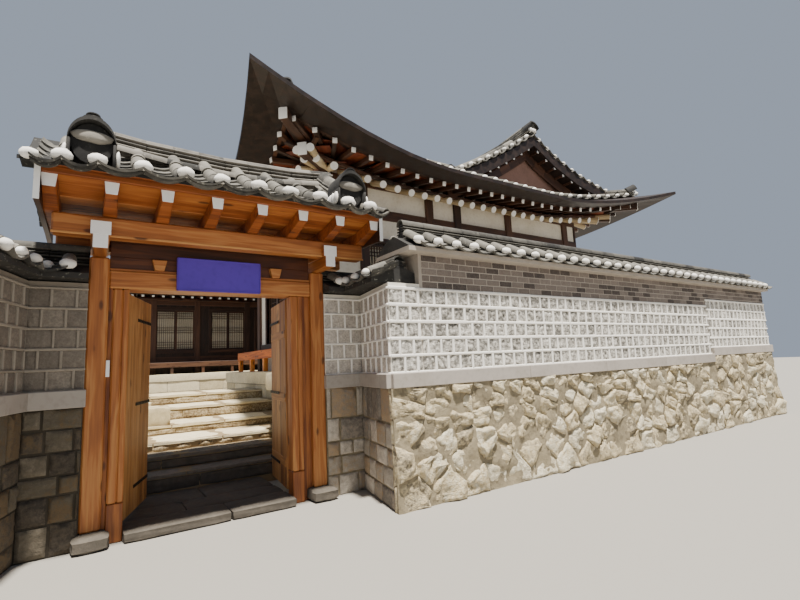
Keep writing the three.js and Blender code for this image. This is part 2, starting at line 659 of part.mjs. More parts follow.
function addPropertyWall() {
  const rightOutline = [
    [POST_RIGHT_X + POST_SIZE + GAP, 0], [RIGHT_INNER_X, 0], [RIGHT_CORNER_X, STREET_FACE_Y],
    [TALL_WALL_X[0] - GAP, STREET_FACE_Y], [TALL_WALL_X[0] - GAP, RECESS_WALL_DEPTH],
    [POST_RIGHT_X + POST_SIZE + GAP, RECESS_WALL_DEPTH],
  ];
  const leftOutline = [
    [POST_LEFT_X - GAP, 0], [POST_LEFT_X - GAP, RECESS_WALL_DEPTH],
    [LEFT_INNER_X - LEFT_RETURN_DEPTH, RECESS_WALL_DEPTH],
    [LEFT_CORNER_X - LEFT_RETURN_DEPTH, STREET_FACE_Y + STREET_WALL_DEPTH],
    [LEFT_STUB_X, STREET_FACE_Y + STREET_WALL_DEPTH], [LEFT_STUB_X, STREET_FACE_Y],
    [LEFT_CORNER_X, STREET_FACE_Y], [LEFT_INNER_X, 0],
  ];
  wallPair('left_wall', leftOutline, LOW_WALL_TOP);
  wallPair('right_low_wall', rightOutline, LOW_WALL_TOP);

  const back = STREET_FACE_Y + STREET_WALL_DEPTH;
  const [from, to] = TALL_WALL_X;
  const stepped = (z, stepX) => [[from, z], [stepX, z], [stepX, z + BAND_STEP], [to, z + BAND_STEP]];
  const base = [[from, 0], [to, 0], ...stepped(WALL_BAND_BOTTOM - GAP, BAND_STEP_X).reverse()];
  addPart('street_wall_base', runAlongY(base, [STREET_FACE_Y, back]), RUBBLE);
  const upper = [...stepped(WALL_BAND_BOTTOM, BAND_STEP_X - GAP), [to, TALL_WALL_TOP], [from, TALL_WALL_TOP]];
  addPart('street_wall', runAlongY(upper, [STREET_FACE_Y, back]), BLOCK);

  const midDepth = RECESS_WALL_DEPTH / 2;
  const returnMid = (TALL_WALL_X[0] + RIGHT_CORNER_X) / 2;
  const rightPath = [[POST_RIGHT_X + POST_SIZE + GAP, midDepth], [returnMid + 60, midDepth],
    [returnMid, STREET_FACE_Y - 20]];
  const leftMid = LEFT_RETURN_DEPTH / 2;
  const leftPath = [[LEFT_STUB_X, STREET_FACE_Y + STREET_WALL_DEPTH / 2],
    [LEFT_CORNER_X - leftMid, STREET_FACE_Y + STREET_WALL_DEPTH / 2],
    [LEFT_INNER_X - leftMid, midDepth], [POST_LEFT_X - GAP, midDepth]];
  const streetPath = [[from - 60, STREET_FACE_Y + STREET_WALL_DEPTH / 2],
    [to, STREET_FACE_Y + STREET_WALL_DEPTH / 2]];
  const copingTall = coping(streetPath, TALL_WALL_TOP + GAP, COPING_HALF_WIDTH + 50);
  addPart('left_wall_coping', coping(leftPath, LOW_WALL_TOP + GAP, COPING_HALF_WIDTH), TILE);
  const clearTall = solid(box([from - 1, to], [STREET_FACE_Y - 10, back + 10], [0, TALL_WALL_TOP]));
  const lowCoping = solid(coping(rightPath, LOW_WALL_TOP + GAP, COPING_HALF_WIDTH)).subtract(clearTall);
  addPart('right_low_wall_coping', geometryOf(lowCoping), TILE);
  addPart('street_wall_coping', copingTall, TILE);
}

// X of the podium's west face, or of its near corner for what lies before it
function podiumWestX(y) {
  const [far, middle, near] = PODIUM_WEST;
  const between = (a, b) => a[0] + ((b[0] - a[0]) * (y - a[1])) / (b[1] - a[1]);
  if (y <= near[1]) {
    return near[0];
  }
  return y < middle[1] ? between(near, middle) : between(middle, far);
}

// Stone steps, one block for the flight, and the low pier beside them
function addSteps() {
  const blocks = STEP_RISERS.map((step, i) => {
    const end = i + 1 < STEP_RISERS.length ? STEP_RISERS[i + 1].y : STEP_END_Y;
    const corners = PODIUM_WEST.map(([, y]) => y).filter((y) => y > step.y && y < end).sort((a, b) => a - b);
    const right = [step.y, ...corners, end].map((y) => [podiumWestX(y) - 1.2 * GAP, y]);
    return prism([[STEP_LEFT_X, step.y], ...right, [STEP_LEFT_X, end]], [0, step.top]);
  });
  addPart('stone_steps', geometryOf(join(blocks)), GRANITE);
  addPart('stair_pier', box(PIER_X, PIER_Y, [STEP_RISERS[3].top + GAP, PIER_TOP]), RUBBLE);
}

// House roofs

// Height gained at a distance in from the eave
function roofRise(d) {
  return ROOF_SLOPE * d + ROOF_STEEPEN * d * d;
}

const ROOF_CORNERS = [
  { at: [EAVE_WEST_X, EAVE_FRONT_Y], out: [-1, -1] },
  { at: [EAVE_WEST_X, 2 * FRONT_RIDGE_Y - EAVE_FRONT_Y], out: [-1, 1] },
  { at: [EAST_RIDGE_X + EAST_HALF_SPAN, EAVE_FRONT_Y], out: [1, -1] },
];

function cornerWeight(x, y, corner) {
  const near = 1 - Math.hypot(x - corner.at[0], y - corner.at[1]) / CORNER_RUN;
  return near > 0 ? near * near : 0;
}

function cornerLift(x, y) {
  return ROOF_CORNERS.reduce((sum, c) => sum + CORNER_LIFT * cornerWeight(x, y, c), 0);
}

function bowOut(x, y) {
  return ROOF_CORNERS.reduce(([px, py], c) => {
    const pull = CORNER_PULL * cornerWeight(x, y, c);
    return [px + c.out[0] * pull, py + c.out[1] * pull];
  }, [x, y]);
}

// A roof over a plan rectangle. inset gives the distance from the nearest eave it drains to,
// and rows says along which axis its tile rows are spaced, from where to where.
function roofForm({ x, y, eave, inset, rows }) {
  const top = (px, py) => eave + roofRise(inset(px, py)) + cornerLift(px, py);
  const depth = (px, py) => ROOF_EDGE_THICKNESS + (ROOF_THICKNESS - ROOF_EDGE_THICKNESS)
    * Math.min(1, inset(px, py) / ROOF_THICKEN_RUN);
  const grid = (over, under, grow = 0) => solid(gridSheet(grown(x, grow), grown(y, grow), over, under, bowOut));
  const clear = (a, b) => top(a, b) - depth(a, b) - SKIRT_CLEAR;
  const slope = rows?.axis === 'x' ? y : x;
  return {
    tiles: () => join(rowCentres(rows).flatMap((centre) => slopeSpans(slope, rows.inset)
      .map((span) => tileRow(rows.axis, centre, span, top)))),
    cover: () => grid((a, b) => top(a, b) + TILE_ROW_HEIGHT + GAP, () => 0, GAP),
    sheet: (grow = 0) => grid((a, b) => top(a, b) + grow, (a, b) => top(a, b) - depth(a, b) - grow, grow),
    under: () => grid((a, b) => top(a, b) - depth(a, b) - GAP, () => 0),
    fill: () => grid((a, b) => top(a, b) + GAP, () => 0, GAP),
    // Everything over the roof, reaching past its eaves along the named axis
    above: (axis) => solid(gridSheet(
      axis === 'x' ? padded(x, EAVE_TRIM) : grown(x, GAP),
      axis === 'y' ? padded(y, EAVE_TRIM) : grown(y, GAP),
      () => SKY,
      clear,
      bowOut,
    )),
  };
}

// Middle line of each tile row
function rowCentres({ from, to }) {
  const count = Math.round((to - from) / TILE_ROW_PITCH);
  return Array.from({ length: count + 1 }, (_, i) => from + i * TILE_ROW_PITCH);
}

// The plan lines of each slope, from near its eave to the foot of the ridge stack
function slopeSpans(values, inset) {
  const [first, last] = [values[0], values[values.length - 1]];
  const middle = (first + last) / 2;
  const foot = HOUSE_RIDGE_HALF_WIDTH + 2 * TILE_ROW_SINK;
  return [[first + inset, middle - foot], [middle + foot, last - inset]].map(([from, to]) => [
    from, ...values.filter((v) => v > from + TILE_ROW_PITCH / 2 && v < to - TILE_ROW_PITCH / 2), to,
  ]);
}

// One row of cover tiles up a slope, its foot sunk into the roof
function tileRow(axis, centre, span, top) {
  const across = [-TILE_ROW_HALF_FOOT, -TILE_ROW_HALF_CROWN, TILE_ROW_HALF_CROWN, TILE_ROW_HALF_FOOT]
    .map((offset) => centre + offset);
  const isCrown = (a, b) => Math.abs((axis === 'x' ? a : b) - centre) < TILE_ROW_HALF_CROWN + 1;
  const over = (a, b) => top(a, b) + (isCrown(a, b) ? TILE_ROW_HEIGHT : -TILE_ROW_SINK);
  const under = (a, b) => top(a, b) - 3 * TILE_ROW_SINK;
  return axis === 'x' ? gridSheet(across, span, over, under, bowOut)
    : gridSheet(span, across, over, under, bowOut);
}

// The same plan lines with the two ends moved outwards
function grown(values, grow) {
  return [values[0] - grow, ...values.slice(1, -1), values[values.length - 1] + grow];
}

// The same plan lines with one more outside each end
function padded(values, pad) {
  return [values[0] - pad, ...values, values[values.length - 1] + pad];
}

// Plan lines that hold the ridge line, even on both sides of it
function linesAbout(middle, half, step = ROOF_GRID) {
  return [...lines(middle - half, middle, step), ...lines(middle, middle + half, step).slice(1)];
}

function houseRoofs() {
  const frontHalf = FRONT_RIDGE_Y - EAVE_FRONT_Y;
  const sideInset = (px, py) => frontHalf - Math.abs(py - FRONT_RIDGE_Y);
  const eastInset = (px) => EAST_HALF_SPAN - Math.abs(px - EAST_RIDGE_X);
  const eastEave = EAST_RIDGE_X + EAST_HALF_SPAN;
  return {
    front: roofForm({
      x: lines(WEST_GABLE_X - VERGE_OVERHANG, EAST_RIDGE_X),
      y: linesAbout(FRONT_RIDGE_Y, frontHalf, SLOPE_GRID),
      eave: MAIN_EAVE_Z,
      inset: sideInset,
      rows: { axis: 'x', from: FRONT_TILE_ROWS_X[0], to: FRONT_TILE_ROWS_X[1], inset: TILE_ROW_INSET },
    }),
    frontSkirt: roofForm({
      x: lines(EAVE_WEST_X, WEST_GABLE_X + SKIRT_TUCK, ROOF_GRID / 2),
      y: linesAbout(FRONT_RIDGE_Y, frontHalf),
      eave: MAIN_EAVE_Z,
      inset: (px, py) => Math.min(sideInset(px, py), px - EAVE_WEST_X),
    }),
    east: roofForm({
      x: linesAbout(EAST_RIDGE_X, EAST_HALF_SPAN, SLOPE_GRID),
      y: lines(FRONT_GABLE_Y - VERGE_OVERHANG, NORTH_VERGE_Y),
      eave: MAIN_EAVE_Z,
      inset: eastInset,
      rows: { axis: 'y', from: EAST_TILE_ROWS_Y[0], to: EAST_TILE_ROWS_Y[1], inset: TILE_ROW_INSET },
    }),
    eastSkirt: roofForm({
      x: lines(EAST_RIDGE_X + GAP, eastEave),
      y: lines(EAVE_FRONT_Y, FRONT_GABLE_Y + SKIRT_TUCK, ROOF_GRID / 2),
      eave: MAIN_EAVE_Z,
      inset: (px, py) => Math.min(eastInset(px), py - EAVE_FRONT_Y),
    }),
    rear: roofForm({
      x: lines(REAR_VERGE_X, EAST_RIDGE_X),
      y: linesAbout(REAR_RIDGE_Y, REAR_HALF_SPAN, SLOPE_GRID),
      eave: REAR_EAVE_Z,
      inset: (px, py) => REAR_HALF_SPAN - Math.abs(py - REAR_RIDGE_Y),
      rows: { axis: 'x', from: REAR_TILE_ROWS_X[0], to: REAR_TILE_ROWS_X[1], inset: REAR_TILE_ROW_INSET },
    }),
  };
}

// Ridge of stacked tiles, its ends rising, from one plan value to another
function ridgeStack(axis, middle, from, to, base, risingEnds) {
  const along = lines(from, to, 600);
  const across = [middle - HOUSE_RIDGE_HALF_WIDTH, middle + HOUSE_RIDGE_HALF_WIDTH];
  const rise = (v) => risingEnds.reduce((sum, end) => {
    const near = Math.max(0, 1 - Math.abs(v - end) / HOUSE_RIDGE_END_RUN);
    return sum + HOUSE_RIDGE_END_RISE * near * near;
  }, 0);
  const top = (a, b) => base + HOUSE_RIDGE_HEIGHT + rise(axis === 'x' ? a : b);
  const bottom = () => base - 400;
  return solid(axis === 'x' ? gridSheet(along, across, top, bottom) : gridSheet(across, along, top, bottom));
}

function addHouseRoofs(roofs) {
  const verge = VERGE_OVERHANG;
  const tall = [0, SKY];
  const frontFill = roofs.front.fill();
  const eastFill = roofs.east.fill();
  const eastInside = solid(box([0, 2 * EAST_RIDGE_X], [FRONT_GABLE_Y + SKIRT_TUCK, SKY * 2], tall));
  const rearFill = roofs.rear.fill();
  const eastRooms = solid(box([EAST_WING_WEST_X - GAP, HOUSE_EAST_X], [FRONT_Y, HOUSE_BACK_Y + 2000], tall));

  const [frontCover, eastCover, rearCover] = [roofs.front.cover(), roofs.east.cover(), roofs.rear.cover()];
  const frontTiles = roofs.front.tiles().subtract(eastCover);
  const frontBody = roofs.front.sheet().subtract(eastFill.intersect(eastInside)).add(frontTiles);
  addPart('roof_front', geometryOf(frontBody), TILE);

  addPart('roof_west_skirt', geometryOf(roofs.frontSkirt.sheet().subtract(roofs.front.above('y'))), TILE);

  const eastTiles = cut(roofs.east.tiles(), [frontCover, rearCover]);
  addPart('roof_east', geometryOf(cut(roofs.east.sheet(), [frontFill, rearFill]).add(eastTiles)), TILE);

  addPart('roof_east_skirt', geometryOf(roofs.eastSkirt.sheet().subtract(roofs.east.above('x'))), TILE);

  const rearTiles = roofs.rear.tiles().subtract(eastCover);
  const rearBody = cut(roofs.rear.sheet(), [eastRooms, roofs.east.sheet(GAP)]).add(rearTiles);
  addPart('roof_rear', geometryOf(rearBody), TILE);

  const westGable = solid(box([WEST_GABLE_X, WEST_GABLE_X + GABLE_THICKNESS],
    [EAVE_FRONT_Y + 1250, 2 * FRONT_RIDGE_Y - EAVE_FRONT_Y - 1250], [MAIN_EAVE_Z, SKY]));
  addPart('west_gable', geometryOf(westGable.intersect(roofs.front.under())
    .subtract(roofs.frontSkirt.fill())), PLASTER);
  const streetGable = solid(box([EAST_RIDGE_X - EAST_HALF_SPAN + 1250, EAST_RIDGE_X + EAST_HALF_SPAN - 1250],
    [FRONT_GABLE_Y, FRONT_GABLE_Y + GABLE_THICKNESS], [MAIN_EAVE_Z, SKY]));
  addPart('street_gable', geometryOf(cut(streetGable.intersect(roofs.east.under()),
    [frontFill, roofs.eastSkirt.fill()])), PLASTER);

  const frontRidgeZ = MAIN_EAVE_Z + roofRise(FRONT_RIDGE_Y - EAVE_FRONT_Y);
  const eastRidgeZ = MAIN_EAVE_Z + roofRise(EAST_HALF_SPAN);
  const rearRidgeZ = REAR_EAVE_Z + roofRise(REAR_HALF_SPAN);
  const fills = [frontFill, eastCover, rearFill];
  const westEnd = WEST_GABLE_X - verge;
  const ridgeMeet = EAST_RIDGE_X - HOUSE_RIDGE_HALF_WIDTH - GAP;
  const ridgeFront = ridgeStack('x', FRONT_RIDGE_Y, westEnd, ridgeMeet, frontRidgeZ, [westEnd]);
  const streetEnd = FRONT_GABLE_Y - verge;
  const ridgeEast = ridgeStack('y', EAST_RIDGE_X, streetEnd, NORTH_VERGE_Y, eastRidgeZ, [streetEnd, NORTH_VERGE_Y]);
  const ridgeRear = ridgeStack('x', REAR_RIDGE_Y, REAR_VERGE_X, EAST_RIDGE_X - 400, rearRidgeZ, [REAR_VERGE_X]);
  addPart('ridge_front', geometryOf(cut(ridgeFront, fills)), TILE);
  addPart('ridge_east', geometryOf(cut(ridgeEast, [frontFill, eastFill])), TILE);
  addPart('ridge_rear', geometryOf(cut(ridgeRear, [...fills, eastRooms])), TILE);
}

// House walls, each cut to the underside of the roof over it

function addHouseWalls(roofs) {
  const rearEaves = solid(box([0, EAST_WING_WEST_X - GAP], [REAR_WING_FRONT_Y - 1500, SKY * 2], [0, SKY]));
  const eastUnder = roofs.east.under().subtract(rearEaves);
  const attic = roofs.front.under().add(eastUnder).add(roofs.rear.under());
  const z = [PODIUM_TOP + GAP, SKY];
  const t = HOUSE_WALL;
  const wallAlongX = (name, x, y, openings, height) => {
    const holes = openings.map(([a, b]) => solid(box([a, b], [y[0] - 10, y[1] + 10], height)));
    addPart(name, geometryOf(cut(solid(box(x, y, z)).intersect(attic), holes)), PLASTER);
  };
  const wallAlongY = (name, x, y, openings, height) => {
    const holes = openings.map(([a, b]) => solid(box([x[0] - 10, x[1] + 10], [a, b], height)));
    addPart(name, geometryOf(cut(solid(box(x, y, z)).intersect(attic), holes)), PLASTER);
  };
  const westX = [FRONT_WING_WEST_X, FRONT_WING_WEST_X + t];
  const courtX = [EAST_WING_WEST_X, EAST_WING_WEST_X + t];
  wallAlongY('wall_west', westX, [FRONT_Y, FRONT_WING_BACK_Y], OPENINGS.west, DOOR_Z);
  wallAlongX('wall_street', [westX[1] + GAP, HOUSE_EAST_X], [FRONT_Y, FRONT_Y + t], OPENINGS.street, WINDOW_Z);
  wallAlongX('wall_court_front', [westX[1] + GAP, courtX[1]],
    [FRONT_WING_BACK_Y - t, FRONT_WING_BACK_Y], OPENINGS.courtFront, DOOR_Z);
  const courtEastY = [FRONT_WING_BACK_Y + GAP, HOUSE_BACK_Y - t - GAP];
  const wingDoorway = solid(box([courtX[0] - 10, courtX[1] + 10], [REAR_WING_FRONT_Y + t, HOUSE_BACK_Y],
    [PODIUM_TOP, DOOR_Z[1]]));
  const courtEast = solid(box(courtX, courtEastY, z)).intersect(attic).subtract(wingDoorway);
  const courtDoors = OPENINGS.courtEast.map(([a, b]) => solid(box([courtX[0] - 10, courtX[1] + 10], [a, b], DOOR_Z)));
  addPart('wall_court_east', geometryOf(cut(courtEast, courtDoors)), PLASTER);
  wallAlongX('wall_court_rear', [REAR_WING_WEST_X + t + GAP, courtX[0] - GAP],
    [REAR_WING_FRONT_Y, REAR_WING_FRONT_Y + t], OPENINGS.courtRear, LOW_DOOR_Z);
  wallAlongY('wall_rear_west', [REAR_WING_WEST_X, REAR_WING_WEST_X + t],
    [REAR_WING_FRONT_Y, HOUSE_BACK_Y - t - GAP], [], DOOR_Z);
  wallAlongX('wall_north', [REAR_WING_WEST_X, HOUSE_EAST_X - t - GAP],
    [HOUSE_BACK_Y - t, HOUSE_BACK_Y], OPENINGS.north, WINDOW_Z);
  wallAlongY('wall_east', [HOUSE_EAST_X - t, HOUSE_EAST_X],
    [FRONT_Y + t + GAP, HOUSE_BACK_Y], OPENINGS.east, WINDOW_Z);
}

// Podium, floor and verandas

function addHouseBase() {
  const podium = [
    [PODIUM_WEST[2][0], PODIUM_FRONT_Y], [PODIUM_EAST_X, PODIUM_FRONT_Y],
    [PODIUM_EAST_X, PODIUM_BACK_Y], [PODIUM_REAR_WEST_X, PODIUM_BACK_Y],
    [PODIUM_REAR_WEST_X, PODIUM_REAR_FRONT_Y], [PODIUM_COURT_X, PODIUM_REAR_FRONT_Y],
    [PODIUM_COURT_X, PODIUM_COURT_Y], PODIUM_WEST[0], PODIUM_WEST[1],
  ];
  addPart('podium', prism(podium, [0, PODIUM_TOP]), GRANITE);
  const t = HOUSE_WALL + GAP;
  const floor = [
    [FRONT_WING_WEST_X + t, FRONT_Y + t], [HOUSE_EAST_X - t, FRONT_Y + t],
    [HOUSE_EAST_X - t, HOUSE_BACK_Y - t], [REAR_WING_WEST_X + t, HOUSE_BACK_Y - t],
    [REAR_WING_WEST_X + t, REAR_WING_FRONT_Y + t], [EAST_WING_WEST_X + t, REAR_WING_FRONT_Y + t],
    [EAST_WING_WEST_X + t, FRONT_WING_BACK_Y - t], [FRONT_WING_WEST_X + t, FRONT_WING_BACK_Y - t],
  ];
  addPart('house_floor', prism(floor, [PODIUM_TOP + GAP, FLOOR_TOP]), DARK_TIMBER);
}

// Board floor on an edge beam and short posts
function veranda({ x, y, top }) {
  const boards = box(x, y, [top - VERANDA_BOARD, top]);
  const alongX = x[1] - x[0] > y[1] - y[0];
  const beamTop = top - VERANDA_BOARD + 5;
  const beamZ = [beamTop - VERANDA_BEAM, beamTop];
  const pieces = [boards];
  const edge = alongX ? box(x, [y[0], y[0] + VERANDA_POST], beamZ) : box([x[0], x[0] + VERANDA_POST], y, beamZ);
  pieces.push(edge);
  const [from, to] = alongX ? x : y;
  const posts = lines(from, to - VERANDA_POST, 1300);
  for (const at of posts) {
    const near = alongX ? [[at, at + VERANDA_POST], [y[0], y[0] + VERANDA_POST]]
      : [[x[0], x[0] + VERANDA_POST], [at, at + VERANDA_POST]];
    pieces.push(box(near[0], near[1], [PODIUM_TOP + GAP, beamTop - 10]));
  }
  return geometryOf(join(pieces));
}

addGateFrame();
addGateBeams();
addGateRoof();
addDoorLeaves();
addPropertyWall();
addSteps();
addHouseBase();
addPart('veranda_west', veranda(WEST_VERANDA), DARK_TIMBER);
addPart('veranda_rear', veranda(REAR_VERANDA), DARK_TIMBER);
const roofs = houseRoofs();
addHouseRoofs(roofs);
addHouseWalls(roofs);

export default model;
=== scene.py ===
"""Looks of the hanok house: street gate, tiled property wall, steps and tiled house.

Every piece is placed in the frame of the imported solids, in metres, with +X along the street,
+Y into the property and the origin on the ground at the middle of the gate.
"""
from __future__ import annotations

import logging
import math
import random
from dataclasses import dataclass
from enum import Enum
from functools import lru_cache, partial
from typing import Callable, Iterable, Mapping, Sequence, Union

import bmesh
import bpy
import numpy as np
from mathutils import Matrix, Vector, noise


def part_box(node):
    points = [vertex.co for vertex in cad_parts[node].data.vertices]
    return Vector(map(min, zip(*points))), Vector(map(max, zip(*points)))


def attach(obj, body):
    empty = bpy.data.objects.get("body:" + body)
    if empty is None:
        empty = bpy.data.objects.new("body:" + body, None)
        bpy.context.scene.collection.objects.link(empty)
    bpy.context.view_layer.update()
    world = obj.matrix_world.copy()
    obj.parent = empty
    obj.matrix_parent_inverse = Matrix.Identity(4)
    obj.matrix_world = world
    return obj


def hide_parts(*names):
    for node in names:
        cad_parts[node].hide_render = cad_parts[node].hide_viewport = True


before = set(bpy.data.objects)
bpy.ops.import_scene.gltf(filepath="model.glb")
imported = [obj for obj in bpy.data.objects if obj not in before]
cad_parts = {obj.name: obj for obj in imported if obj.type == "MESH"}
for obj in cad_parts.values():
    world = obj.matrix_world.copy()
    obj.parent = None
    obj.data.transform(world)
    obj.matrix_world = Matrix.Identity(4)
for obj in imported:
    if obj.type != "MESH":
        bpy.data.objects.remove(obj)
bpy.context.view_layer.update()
LOG = logging.getLogger("hanok")

Number = Union[float, "Term"]
Point = Sequence[float]
Colour = tuple[float, float, float]
Span = tuple[float, float]
Array = np.ndarray
Surface = Callable[[float, float], Array]
Test = Callable[[float, float], bool]
Socket = bpy.types.NodeSocket
Mesh = bmesh.types.BMesh
Material = bpy.types.Material
WORLD_AXES = np.eye(3)
UP = (0.0, 0.0, 1.0)
SIDES = ("left", "right")


def tint(code: str) -> Colour:
    """Turns a six-digit screen colour into linear light."""
    channels = [int(code[i:i + 2], 16) / 255 for i in (0, 2, 4)]
    return tuple(c / 12.92 if c <= 0.04045 else ((c + 0.055) / 1.055) ** 2.4 for c in channels)


def term_method(operation: str, swapped: bool = False) -> Callable[["Term", Number], "Term"]:
    """Makes a method that adds one Math node.

    Args:
        operation: the node's operation name.
        swapped: whether the other number goes in first.

    Returns:
        The method.
    """
    def apply(self: "Term", other: Number) -> "Term":
        """Adds the node and gives its result."""
        return self.graph.math(operation, *((other, self) if swapped else (self, other)))
    return apply


class Term:
    """A number that a node gives, ready for plain sums."""

    def __init__(self, graph: "Graph", link: Socket) -> None:
        """Keeps the graph that the sums are added to and the socket that gives the number."""
        self.graph = graph
        self.link = link

    __add__, __radd__ = term_method("ADD"), term_method("ADD", True)
    __sub__, __rsub__ = term_method("SUBTRACT"), term_method("SUBTRACT", True)
    __mul__, __rmul__ = term_method("MULTIPLY"), term_method("MULTIPLY", True)

    def clamp(self) -> "Term":
        """Limits the number to 0..1."""
        return self.graph.math("MINIMUM", self.graph.math("MAXIMUM", self, 0.0), 1.0)

    def band(self, low: float, high: float) -> "Term":
        """Makes a smooth step.

        Args:
            low: value that becomes 0.
            high: value that becomes 1.

        Returns:
            The eased number.
        """
        inputs = {0: self, 1: low, 2: high, 3: 0.0, 4: 1.0}
        settings = {"interpolation_type": "SMOOTHSTEP"}
        return Term(self.graph, self.graph.node("ShaderNodeMapRange", settings, inputs).outputs[0])


class Graph:
    """The node tree of one material."""

    def __init__(self, name: str) -> None:
        """Starts an empty material.

        Args:
            name: of the material.
        """
        self.material = bpy.data.materials.new(name)
        self.material.use_nodes = True
        self.tree = self.material.node_tree
        self.tree.nodes.clear()

    def node(self, kind: str, settings: Mapping[str, object] | None = None,
            inputs: Mapping[Union[int, str], object] | None = None) -> bpy.types.Node:
        """Adds any node.

        Args:
            kind: node type name.
            settings: values set first.
            inputs: a value, link or Term for each named or numbered socket.

        Returns:
            The new node.
        """
        made = self.tree.nodes.new(kind)
        for name, value in (settings or {}).items():
            setattr(made, name, value)
        for key, value in (inputs or {}).items():
            self.feed(made.inputs[key], value)
        return made

    def feed(self, socket: Socket, value: object) -> None:
        """Links or sets one input socket.

        Args:
            socket: the input.
            value: a Term, an output socket, a number, a vector or a linear colour.
        """
        if isinstance(value, Term):
            self.tree.links.new(value.link, socket)
        elif isinstance(value, bpy.types.NodeSocket):
            self.tree.links.new(value, socket)
        elif isinstance(value, (int, float)):
            socket.default_value = value
        else:
            wanted = len(socket.default_value)
            socket.default_value = (*value, 1.0)[:wanted] if len(value) < wanted else tuple(value)

    def math(self, operation: str, *values: Number) -> Term:
        """Adds one Math node."""
        made = self.node("ShaderNodeMath", {"operation": operation}, dict(enumerate(values)))
        return Term(self, made.outputs[0])

    def tone(self) -> Term:
        """Adds the node that reads each copy's own shade."""
        return Term(self, self.node("ShaderNodeAttribute", {"attribute_name": "tone"}).outputs["Fac"])

    def place(self, grain: Grain) -> Socket:
        """Gives the coordinates of the piece's own attribute, or else those of the object."""
        return (self.node("ShaderNodeAttribute", {"attribute_name": "grain"}).outputs["Vector"]
            if grain is Grain.PIECE else self.node("ShaderNodeTexCoord").outputs["Object"])

    def spread(self, coordinates: Socket, scale: Point) -> Socket:
        """Stretches coordinates along each axis."""
        return self.node("ShaderNodeMapping", {}, {"Vector": coordinates, "Scale": scale}).outputs[0]

    def noise(self, coordinates: Socket, scale: float, detail: float = 3.0) -> Term:
        """Adds soft noise."""
        inputs = {"Vector": coordinates, "Scale": scale, "Detail": detail}
        return Term(self, self.node("ShaderNodeTexNoise", {}, inputs).outputs[0])

    def cells(self, coordinates: Socket, scale: float) -> Term:
        """Adds the distance to scattered points, for specks, pits and knots."""
        made = self.node("ShaderNodeTexVoronoi", {}, {"Vector": coordinates, "Scale": scale})
        return Term(self, made.outputs["Distance"])

    def ramp(self, factor: Number, stops: Sequence[tuple[float, str]]) -> Socket:
        """Turns a number into a colour.

        Args:
            factor: the number.
            stops: place and screen colour of each stop, in rising order.

        Returns:
            The colour.
        """
        made = self.node("ShaderNodeValToRGB", {}, {0: factor})
        elements = made.color_ramp.elements
        while len(elements) < len(stops):
            elements.new(1.0)
        for element, (place, code) in zip(elements, stops):
            element.position, element.color = place, (*tint(code), 1.0)
        return made.outputs[0]

    def mix(self, factor: Number, first: object, second: object) -> Socket:
        """Mixes two colours."""
        made = self.node("ShaderNodeMix", {"data_type": "RGBA"}, {0: factor, 6: first, 7: second})
        return made.outputs[2]

    def finish(self, colour: object, roughness: Number, height: Number | None = None, depth: float = 0.002,
            **constants: float) -> Material:
        """Closes the tree with one shader.

        Args:
            colour: linear colour or link.
            roughness: number or Term.
            height: relief from 0 to 1, or none.
            depth: how deep the relief is, in metres.
            constants: other shader sockets, with spaces as underscores.

        Returns:
            The material.
        """
        inputs: dict[Union[int, str], object] = {"Base Color": colour, "Roughness": roughness}
        if height is not None:
            bump = self.node("ShaderNodeBump", {}, {"Strength": 1.0, "Distance": depth, "Height": height})
            inputs["Normal"] = bump.outputs[0]
        for name, value in constants.items():
            inputs[name.replace("_", " ")] = value
        shader = self.node("ShaderNodeBsdfPrincipled", {}, inputs)
        self.node("ShaderNodeOutputMaterial", {}, {"Surface": shader.outputs[0]})
        return self.material


class Grain(Enum):
    """What the pattern of a finish runs along."""

    PIECE = "piece"
    X = "x"
    Y = "y"
    Z = "z"


@dataclass(frozen=True)
class Finish:
    """A surface finish with the record's slot that it belongs to."""

    name: str
    slot: str

    def draw(self, graph: Graph) -> Material:
        """Adds the finish's nodes and returns the material."""
        raise NotImplementedError

    def material(self) -> Material:
        """Gives the finish's material, made once."""
        return bpy.data.materials.get(self.name) or self.draw(Graph(self.name))


@dataclass(frozen=True)
class Timber(Finish):
    """Planed wood with fibres, broad figure and a few knots."""

    deep: str = "6d330f"
    middle: str = "a8622a"
    pale: str = "d59b57"
    grain: Grain = Grain.PIECE
    polish: float = 0.48
    knots: float = 1.0

    def draw(self, graph: Graph) -> Material:
        """Adds the finish's nodes.

        Args:
            graph: the material's tree.

        Returns:
            The material.
        """
        place = graph.place(self.grain)
        along = {Grain.PIECE: 0, Grain.X: 0, Grain.Y: 1, Grain.Z: 2}[self.grain]
        slow, fine, wide = [9.0] * 3, [60.0] * 3, [8.0] * 3
        slow[along], fine[along], wide[along] = 0.7, 1.6, 3.0
        figure = graph.noise(graph.spread(place, slow), 1.0, 4.0)
        fibre = graph.noise(graph.spread(place, fine), 1.0, 2.0)
        rings = graph.math("SINE", figure * 38.0) * 0.5 + 0.5
        knot = 1 - graph.cells(graph.spread(place, wide), 1.0).band(0.1, 0.2)
        tone = graph.tone()
        level = figure * 0.55 + rings * 0.14 + fibre * 0.28 + (tone - 0.5) * 0.35
        colour = graph.ramp(level, [(0.22, self.deep), (0.5, self.middle), (0.82, self.pale)])
        colour = graph.mix(knot * (0.75 * self.knots), colour, tint("3a1a0a"))
        relief = fibre * 0.6 + rings * 0.2
        return graph.finish(colour, self.polish + fibre * 0.18, relief, 0.0012)


